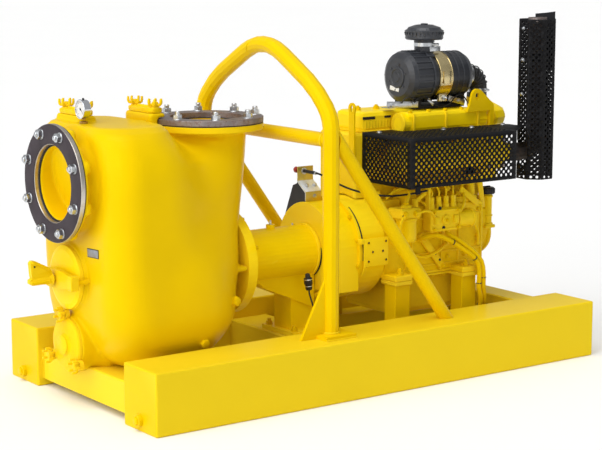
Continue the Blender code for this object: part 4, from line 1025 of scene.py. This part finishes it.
lathe(bm, [(0.022, 0), (0.022, 0.006), (0.0195, 0.008), (0, 0.008)], (1.54, 0, CRANK_Z), REAR, 32)
piece(bm, "engine_castings", paint_cast)

bm = bmesh.new()
tube(bm, [(1.05, *MANIFOLD), (1.2, *MANIFOLD), (1.35, *MANIFOLD), (1.47, -0.149, 0.655),
    (1.515, -0.152, 0.652)], lambda t: 0.043 - 0.08 * max(0, t - 0.86), 28, 0.02)
for x in (1.12, 1.25, 1.38):
    block(bm, x - 0.034, x + 0.034, -0.15, -0.0555, 0.622, 0.7, 0.008)
    block(bm, x - 0.044, x + 0.044, -0.066, -0.0555, 0.612, 0.71, 0.003)
block(bm, 1.405, 1.49, -0.185, -0.105, 0.6, 0.712, 0.012)
for x in (1.095, 1.185, 1.315, 1.395):
    ring(bm, (x, *MANIFOLD), REAR, 0.04, 0.0475, 0.01, 36, 0.002)
piece(bm, "exhaust_manifold_body", paint_cast)
bm = bmesh.new()
for x in (1.12, 1.25, 1.38):
    for dx in (-0.036, 0.036):
        for z in (0.621, 0.701):
            bolt(bm, (x + dx, -0.066, z), NEAR, 0.011, 0.005, 0.006)
for z in (0.616, 0.696):
    for x in (1.418, 1.477):
        bolt(bm, (x, -0.185, z), NEAR, 0.011, 0.005)
piece(bm, "exhaust_manifold_bolts", rusty_steel)

bm = bmesh.new()
SENSORS = ((1.118, -0.07, 0.47, 0.052, 0.009), (1.14, -0.072, 0.53, 0.046, 0.0075),
    (1.33, -0.07, 0.52, 0.06, 0.01), (1.372, -0.07, 0.5, 0.068, 0.0085),
    (1.29, -0.07, 0.545, 0.056, 0.0065))
for x, y, z, reach, r in SENSORS:
    boss(bm, (x, y + 0.016, z), NEAR, reach + 0.016, r, sides=20, chamfer=0.0015)
    nut(bm, (x, y - reach, z), NEAR, r * 2.3, 0.007, 0.4)
each(block, bm,
    (1.3, 1.4, -0.148, -0.07, 0.499, 0.518, 0.005),
    (1.108, 1.152, -0.14, -0.07, 0.499, 0.555, 0.006),
    (1.01, 1.1, -0.12, -0.055, 0.5, 0.525, 0.005),
    (1.175, 1.195, -0.206, -0.196, 0.445, 0.47, 0.003),
    (1.255, 1.275, -0.206, -0.196, 0.445, 0.47, 0.003),
    (1.462, 1.506, -0.122, -0.078, 0.395, 0.406, 0.003),
    (1.429, 1.5, -0.135, -0.05, 0.555, 0.63, 0.01),
    (1.429, 1.51, -0.125, 0.03, 0.635, 0.72, 0.014))
each(boss, bm,
    ((1.385, -0.13, 0.5), UP, 0.072, 0.016, 0.013, 24, 0.003),
    ((1.385, -0.13, 0.572), UP, 0.012, 0.019, 0.019, 24, 0.002),
    ((1.02, -0.105, 0.525), UP, 0.031, 0.011, 0.009, 20, 0.002),
    ((1.128, -0.16, 0.47), UP, 0.06, 0.012, 0.01, 20, 0.002),
    ((1.429, -0.06, 0.6), REAR, 0.096, 0.046, 0.043, 40, 0.004),
    ((1.525, -0.06, 0.6), REAR, 0.015, 0.03, 0.03, 32, 0.003))
each(bar, bm,
    ((1.128, -0.166, 0.522), (1.166, -0.176, 0.552), 0.014, 0.004, FAR, 0.001),
    ((1.3, -0.164, 0.5), (1.338, -0.164, 0.455), 0.016, 0.005, FAR, 0.001),
    ((1.318, -0.158, 0.545), (1.392, -0.158, 0.492), 0.02, 0.006),
    ((1.405, -0.15, 0.585), (1.44, -0.13, 0.47), 0.02, 0.006))
each(tube, bm,
    ([(1.14, -0.118, 0.53), (1.15, -0.15, 0.522), (1.166, -0.172, 0.505), (1.176, -0.196, 0.48)], 0.004),
    ([(*FILTER, 0.527), (1.09, -0.176, 0.548), (1.112, -0.14, 0.556), (1.128, -0.13, 0.548)], 0.005),
    ([(1.036, -0.223, 0.49), (1.02, -0.224, 0.47), (1.022, -0.214, 0.43), (1.04, -0.19, 0.398),
      (1.062, -0.16, 0.385)], 0.0042),
    ([(1.285, -0.19, 0.47), (1.31, -0.186, 0.5), (1.33, -0.16, 0.53), (1.345, -0.13, 0.55),
      (1.385, -0.13, 0.56)], 0.0048),
    ([(1.345, -0.165, 0.44), (1.372, -0.168, 0.425), (1.392, -0.164, 0.395), (1.398, -0.158, 0.36)],
     0.0052),
    ([(1.12, -0.158, 0.35), (1.16, -0.17, 0.338), (1.215, -0.168, 0.35), (1.262, -0.16, 0.372)], 0.0045),
    ([(1.03, -0.135, 0.535), (1.06, -0.15, 0.56), (1.12, -0.158, 0.566), (1.2, -0.156, 0.56),
      (1.262, -0.15, 0.566)], 0.004))
for x, z in ((1.12, 0.35), (1.262, 0.372), (1.062, 0.385), (1.398, 0.36)):
    nut(bm, (x, -0.15, z), NEAR, 0.015, 0.012, 0.3)
lathe(bm, [(0.0275, 0), (0.03, 0.002), (0.03, 0.007), (0.027, 0.009), (0, 0.009)],
    (1.34, INJECT_Y, 0.452), REAR, 32)
lathe(bm, [(0.0195, 0), (0.0225, 0.002), (0.0225, 0.006), (0.0195, 0.008)], (*FILLER, 0.404), UP, 32)
piece(bm, "engine_accessories", paint_cast)

bm = bmesh.new()
for s in (-1, 1):
    for k in range(8):
        bolt(bm, (1.072 + 0.047 * k, s * 0.15, 0.2735), DOWN, 0.01, 0.0045)
        if s > 0 or k not in (0, 1):
            bolt(bm, (1.052 + 0.05 * k, s * 0.15, 0.472), (0, s, 0), 0.01, 0.0045)
    for x in (1.0445, 1.32):
        bolt(bm, (x, s * 0.19, 0.298), UP, 0.018, 0.01, 0.01)
    for x, z in ((1.272, 0.327), (1.272, 0.434), (1.345, 0.327), (1.345, 0.434), (1.398, 0.385)):
        bolt(bm, (x, s * 0.15, z), (0, s, 0), 0.012, 0.0052)
each(bolt, bm,
    ((1.16, -0.168, 0.401), NEAR, 0.013, 0.006, 0.004),
    ((1.242, -0.166, 0.301), NEAR, 0.013, 0.006, 0.004),
    ((1.176, -0.201, 0.43), NEAR, 0.01, 0.005),
    ((1.274, -0.201, 0.43), NEAR, 0.01, 0.005),
    ((1.176, -0.201, 0.486), NEAR, 0.01, 0.005),
    ((1.274, -0.201, 0.486), NEAR, 0.01, 0.005),
    ((1.225, -0.204, 0.457), NEAR, 0.01, 0.005),
    ((1.04, -0.222, 0.494), NEAR, 0.015, 0.0075),
    ((1.08, -0.222, 0.494), NEAR, 0.015, 0.0075),
    ((*FILTER, 0.518), UP, 0.017, 0.008),
    ((*FILTER, 0.401), DOWN, 0.013, 0.006),
    ((1.045, 0.033, 0.8), UP, 0.017, 0.009, 0.004),
    ((1.12, 0.033, 0.8), UP, 0.017, 0.009, 0.004))
for x in (1.155, 1.23, 1.3, 1.37, 1.44):
    bolt(bm, (x, -0.0975, 0.796), UP, 0.011, 0.005)
TIMING_BOLTS = ((-0.095, 0.42), (-0.048, 0.52), (-0.045, 0.66), (0.085, 0.66), (0.1, 0.52), (0.1, 0.42),
    (0.045, 0.285), (-0.045, 0.285))
for y, z in TIMING_BOLTS:
    bolt(bm, (1.4826, y, z), REAR, 0.011, 0.005)
for y, z in circle(4, 0.05, 45):
    bolt(bm, (1.532, y, CRANK_Z + z), REAR, 0.011, 0.005)
bolt(bm, (1.548, 0, CRANK_Z), REAR, 0.026, 0.012)
for x in (1.115, 1.21, 1.305):
    bolt(bm, (x, 0.145, 0.6925), FAR, 0.011, 0.005)
for x, z in COVER_BOLTS:
    boss(bm, (x, -0.1695, z), NEAR, 0.0037, 0.0046, sides=16, chamfer=0.0008)
piece(bm, "engine_bolts", paint_steel)

# Painted shade: dark discs and strips where the engine's holes and slots lie in shade.
bm = bmesh.new()
for x, z in COVER_BOLTS:
    disc(bm, (x, -0.173, z), NEAR, 0.0036, 0.0006, 12)
each(disc, bm,
    ((1.199, -0.1965, 0.497), NEAR, 0.0055, 0.004),
    ((1.215, -0.1965, 0.433), NEAR, 0.0055, 0.004),
    ((1.212, -0.164, 0.344), NEAR, 0.0042, 0.001),
    ((1.23, -0.164, 0.322), NEAR, 0.0042, 0.001),
    ((1.032, -0.2215, 0.489), NEAR, 0.0048, 0.0012))
each(block, bm,
    (1.012, 1.06, -0.0392, -0.036, 0.776, 0.785),
    (1.098, 1.124, -0.0392, -0.036, 0.778, 0.785),
    (0.963, 0.964, -0.049, -0.044, 0.69, 0.716),
    (1.5405, 1.542, -0.0415, -0.0355, 0.345, 0.372))
piece(bm, "engine_painted_hole_shade", shade_in_holes)

bm = bmesh.new()
for k, x in enumerate(PUMP_PORTS):
    nut(bm, (x, INJECT_Y, 0.5195), UP, 0.0165, 0.012, 0.3 * k)
    end = 1.075 + 0.088 * k
    tube(bm, [(x, INJECT_Y, 0.53), (x, INJECT_Y, 0.552), (x + (end - x) * 0.3, -0.15, 0.576),
        (x + (end - x) * 0.75, -0.095, 0.59), (end, -0.064, 0.61), (end, -0.06, 0.64)], 0.0031, 10, 0.008)
tube(bm, [(1.08, -0.231, 0.494), (1.11, -0.234, 0.5), (1.14, -0.226, 0.492), (1.165, -0.208, 0.478),
    (1.178, -0.2, 0.47)], 0.0036, 10, 0.006)
piece(bm, "injection_pipes", paint_cast)

bm = bmesh.new()
HOSE_BANDS = (((1.247, -0.2085, 0.384), (0.8, -0.22, -0.36)),
    ((1.322, -0.2285, 0.327), (0.6, -0.12, -0.75)), ((1.359, -0.231, 0.262), (0.05, 0, -1)),
    ((1.341, -0.2305, 0.245), DOWN), ((1.378, -0.213, 0.168), (0.25, 0.45, -0.85)),
    ((1.361, -0.2125, 0.168), (0.2, 0.5, -0.85)))
for centre, direction in HOSE_BANDS:
    ring(bm, centre, direction, 0.0078, 0.009, 0.0036, 24, 0.0004)
piece(bm, "hose_bands", black_plastic)

bm = bmesh.new()
for c, s in circle(20, 1.0):
    x, y = FILLER[0] + 0.0268 * c, FILLER[1] + 0.0268 * s
    bar(bm, (x, y, 0.5115), (x, y, 0.5265), 0.0036, 0.003, (c, s, 0), 0.0006)
block(bm, 1.47, 1.498, -0.1035, -0.0965, 0.5285, 0.5345, 0.002)
piece(bm, "oil_filler_cap_grip", black_plastic)


# Bell housing, bearing bracket and stop control
bm = bmesh.new()
for y, z in circle(12, 0.156, 15):
    if SHAFT_Z + z > 0.26:
        bolt(bm, (0.9075, y, SHAFT_Z + z), FRONT, 0.0115, 0.005)
for c, s in circle(8, 1.0, 22.5):
    bolt(bm, (0.523, 0.14 * c, SHAFT_Z + 0.14 * s), REAR, 0.019, 0.01, 0.01)
    bolt(bm, (0.8146, 0.06 * c, SHAFT_Z + 0.06 * s), REAR, 0.011, 0.005)
for y in (-0.068, 0.068):
    for x in (0.722, 0.816):
        bolt(bm, (x, y, 0.135), UP, 0.018, 0.009, 0.008)
for y in (-0.125, 0.125):
    bolt(bm, (0.445, y, SHAFT_Z + 0.008), UP, 0.017, 0.008)
for y in (-0.3475, 0.3475):
    nut(bm, (-0.012, y, 0.032), FRONT, 0.0215, 0.006, 0.2)
bolt(bm, (0.405, -0.213, 0.295), (0.25, -1, 0), 0.024, 0.012)
bolt(bm, (0.285, -0.23, 0.19), (0.05, -1, -0.25), 0.024, 0.012)
piece(bm, "frame_bolts", paint_steel)
bm = bmesh.new()
block(bm, 0.915, 1.012, -0.1712, -0.1685, 0.332, 0.421, 0.0012)
block(bm, 0.903, 0.919, -0.1712, -0.15, 0.405, 0.421, 0.002)
bar(bm, (0.929, -0.162, 0.33), (0.929, -0.148, 0.3), 0.014, 0.004, bevel=0.001)
piece(bm, "flywheel_cover_plate", paint_bright_for_shade)
bm = bmesh.new()
each(ring, bm,
    ((0.8026, 0, SHAFT_Z), REAR, 0.06, 0.087, 0.011, 56, 0.002),
    ((0.522, 0, SHAFT_Z), REAR, 0.08, 0.098, 0.01, 56, 0.004),
    ((0.815, 0, SHAFT_Z), REAR, 0.14, 0.152, 0.006, 56, 0.002))
for s in (-1, 1):
    bar(bm, (0.56, s * 0.0735, 0.341), (0.65, s * 0.0815, 0.369), 0.006, 0.004)
piece(bm, "bearing_castings", paint_bright_for_shade)


def draw_gap_shade(bm, x, radius, first, count, thin, more):
    """Painted shade: a dark line in the gap round the shaft's axis on the near side, in steps of 3 degrees
    from the first angle.
    """
    angles = [math.radians(first + 3 * k) for k in range(count)]
    points = [(x, -radius * math.cos(a), SHAFT_Z + radius * math.sin(a)) for a in angles]
    pipe(bm, points, lambda t: thin + more * math.sin(math.pi * t), 8)


bm = bmesh.new()
draw_gap_shade(bm, 0.9197, DRUM_R, -8, 23, 0.0014, 0.001)
draw_gap_shade(bm, 0.8118, 0.088, -62, 26, 0.0008, 0.0014)
piece(bm, "housing_gaps_shaded", shade_in_holes)
bm = bmesh.new()
for centre, direction in (((0.68, 0, SHAFT_Z + 0.0938), UP), ((0.8, 0.046, 0.4415), (0, 0.4, 0.9))):
    lathe(bm, [(0.0045, 0), (0.0045, 0.006), (0.0028, 0.0085), (0.0034, 0.011), (0.002, 0.0135),
        (0, 0.0135)], centre, direction, 16)
FOLD_UP = (0, -0.584, 0.812)
for x in (0.853, 0.884):
    bolt(bm, (x, 0.047, 0.5692), FOLD_UP, 0.011, 0.005)
bolt(bm, (0.87, 0.0267, 0.538), NEAR, 0.01, 0.0045)
each(ring, bm,
    ((0.8585, 0.0694, 0.614), NEAR, 0.0058, 0.0105, 0.0034, 24),
    ((0.8585, 0.0738, 0.614), FAR, 0.0044, 0.0095, 0.0034, 6),
    ((0.8585, 0.01, 0.6136), (0.05, -1, -0.05), 0.0034, 0.0052, 0.006, 20, 0.0008))
piece(bm, "control_fittings", zinc)
bm = bmesh.new()
each(bar, bm,
    ((0.865, 0.0266, 0.5533), (0.865, 0.0696, 0.5843), 0.0602, 0.0012, FOLD_UP, 0.0003),
    ((0.8346, 0.0275, 0.526), (0.8346, 0.0275, 0.5505), 0.003, 0.0012, FAR, 0.0002),
    ((0.8346, 0.0282, 0.5512), (0.8346, 0.0712, 0.5822), 0.0034, 0.0012, (0, 1, 0.7), 0.0002))
piece(bm, "control_plate", bright_zinc)
SENSOR_AXIS = (0.12, 0, -1)
bm = bmesh.new()
lathe(bm, [(0, 0), (0.006, 0), (0.008, 0.004), (0.008, 0.012), (0.0125, 0.014), (0.0135, 0.018),
    (0.0135, 0.032), (0.011, 0.036), (0.011, 0.048), (0.009, 0.052), (0, 0.052)], (0.757, -0.09, 0.318),
    SENSOR_AXIS, 24)
piece(bm, "sensor_boot", rubber_hose)
bm = bmesh.new()
ring(bm, (0.759, -0.09, 0.3015), SENSOR_AXIS, 0.0082, 0.014, 0.003, 24, 0.0008)
ring(bm, (0.7617, -0.09, 0.28), SENSOR_AXIS, 0.0108, 0.0125, 0.0022, 24)
piece(bm, "sensor_rings", zinc)
bm = bmesh.new()
tube(bm, [(0.7632, -0.09, 0.267), (0.765, -0.09, 0.252), (0.772, -0.094, 0.225), (0.786, -0.092, 0.19),
    (0.8, -0.08, 0.16), (0.806, -0.07, 0.139)], 0.0026, 8, 0.006)
piece(bm, "sensor_cable", rubber_hose)


# Welds, plates and small parts of the skid
def weld_line(bm, points, radius=0.0032):
    """A wavy bead along a line of points."""
    pts = smooth(points, 0.0045)
    pipe(bm, pts, lambda t: radius * (0.85 + 0.25 * abs(math.sin(t * len(pts) * 1.1))), 8)


# Along X where each cross member meets the beams, with the height of its top.
MEMBER_EDGES = ((0.02, 0.115), (0.15, 0.115), (0.34, 0.115), (0.43, 0.115), (0.7, 0.12), (0.84, 0.12),
    (1.53, 0.16), (1.62, 0.16))
LEG_X = 0.658
ROUND = circle(16, 1.0)
ROUND.append(ROUND[0])
bm = bmesh.new()
for s in (-1, 1):
    y = s * 0.3425
    weld_line(bm, [(LEG_X + 0.0262 * u, y + 0.0262 * v, 0.1935) for u, v in ROUND])
    for side in (y - 0.055, y + 0.055):
        weld_line(bm, [(x, side, 0.1815) for x in (0.603, LEG_X, 0.713)], 0.0026)
    weld_line(bm, [(LEG_X + 0.0225 * u, s * 0.3165, 0.762 + 0.0225 * v) for u, v in ROUND], 0.0028)
    for x, top in MEMBER_EDGES:
        weld_line(bm, [(x, s * 0.259, z) for z in (0.024, (0.024 + top) / 2, top)], 0.0026)
weld_line(bm, [(LEG_X + 0.0256 * u, 0.06 - 0.0102 * v, 1.0165 + 0.0236 * v) for u, v in ROUND], 0.0022)
piece(bm, "weld_beads", paint_skid)

bm = bmesh.new()
bar(bm, (-0.0062, -0.0785, 0.4634), (-0.0062, -0.142, 0.4662), 0.0255, 0.0012, REAR, 0.0003)
piece(bm, "casing_plate_edge", black_plastic)
bm = bmesh.new()
bar(bm, (-0.0068, -0.0805, 0.4635), (-0.0068, -0.14, 0.4661), 0.0215, 0.001, REAR, 0.0003)
for y, z in ((-0.0822, 0.4718), (-0.0822, 0.4552), (-0.1384, 0.4742), (-0.1384, 0.4576)):
    lathe(bm, [(0.0016, 0), (0.0012, 0.0009), (0, 0.0011)], (-0.007, y, z), FRONT, 12)
piece(bm, "casing_plate", label_grey)
# Painted shade in a small hole of the clamp screw.
bm = bmesh.new()
disc(bm, (-0.126, 0.0158, 0.42), NEAR, 0.0028, 0.0008, 14)
piece(bm, "hand_hole_screw_shade", shade_in_holes, body="clamp_screw")
bm = bmesh.new()
lathe(bm, [(0.0148, 0), (0.019, 0.001), (0.019, 0.0045), (0.0148, 0.0055)], (-0.067, HAND_Y, HAND_Z),
    FRONT, 32)
boss(bm, (-0.079, HAND_Y, HAND_Z), REAR, 0.0118, 0.015, 0.0165, 28, 0.001)
tube(bm, [(-0.1385, 0.015, 0.3745), (-0.115, 0.0135, 0.374), (-0.08, 0.014, 0.3745)], 0.0052, 12, 0.008)
tube(bm, [(-0.133, 0.016, 0.432), (-0.105, 0.016, 0.422), (-0.08, 0.0165, 0.408)], 0.004, 12, 0.008)
piece(bm, "hand_hole_screw_collar", paint_case, body="clamp_screw")
bm = bmesh.new()
lathe(bm, [(0.0285, 0), (0.0285, 0.003), (0.025, 0.005), (0, 0.005)], (-0.034, CLEAN_Y, CLEAN_Z), FRONT,
    40)
piece(bm, "cleanout_boss", paint_cast)


# Camera, floor and light
scene = bpy.context.scene
cam = bpy.data.objects.new("camera", bpy.data.cameras.new("camera"))
cam.data.sensor_width = 36.0
cam.data.lens = 103.97
cam.data.clip_end = 100.0
cam.location = (-3.1148, -4.3727, 1.3394)
cam.rotation_euler = (math.radians(80.6805), 0, math.radians(-35.7768))
scene.collection.objects.link(cam)
scene.camera = cam

bm = bmesh.new()
bmesh.ops.create_grid(bm, x_segments=8, y_segments=8, size=45.0)
mesh = bpy.data.meshes.new("floor")
bm.to_mesh(mesh)
bm.free()
floor = bpy.data.objects.new("floor", mesh)
floor.data.materials.append(shader("studio_floor", (0.93, 0.93, 0.925), 0.75, vary=0.004, vary_scale=0.8))
scene.collection.objects.link(floor)

world = bpy.data.worlds.new("studio")
scene.world = world
world.use_nodes = True
background = world.node_tree.nodes["Background"]
background.inputs["Color"].default_value = (1.0, 1.0, 1.0, 1.0)
background.inputs["Strength"].default_value = 0.42


def lamp(kind, name, power, where, target=(0, 0, 0), size=None, **more):
    """A light that looks at a target; size makes it a rectangle."""
    data = bpy.data.lights.new(name, kind)
    data.energy = power
    if size:
        data.shape = 'RECTANGLE'
        data.size, data.size_y = size
    for key, value in more.items():
        setattr(data, key, value)
    obj = bpy.data.objects.new(name, data)
    obj.location = where
    obj.rotation_euler = (Vector(target) - Vector(where)).to_track_quat('-Z', 'Y').to_euler()
    scene.collection.objects.link(obj)


lamp('SUN', "key_sun", 1.8, (-1.6, -1.0, 4.8), angle=math.radians(50))
lamp('SUN', "front_sun", 1.7, (-4.0, -0.4, 1.3), angle=math.radians(60))
lamp('AREA', "left_softbox", 8.0, (-3.4, -2.2, 2.0), (-0.4, 0, 0.6), (0.9, 2.2))
scene.view_settings.view_transform = 'Standard'
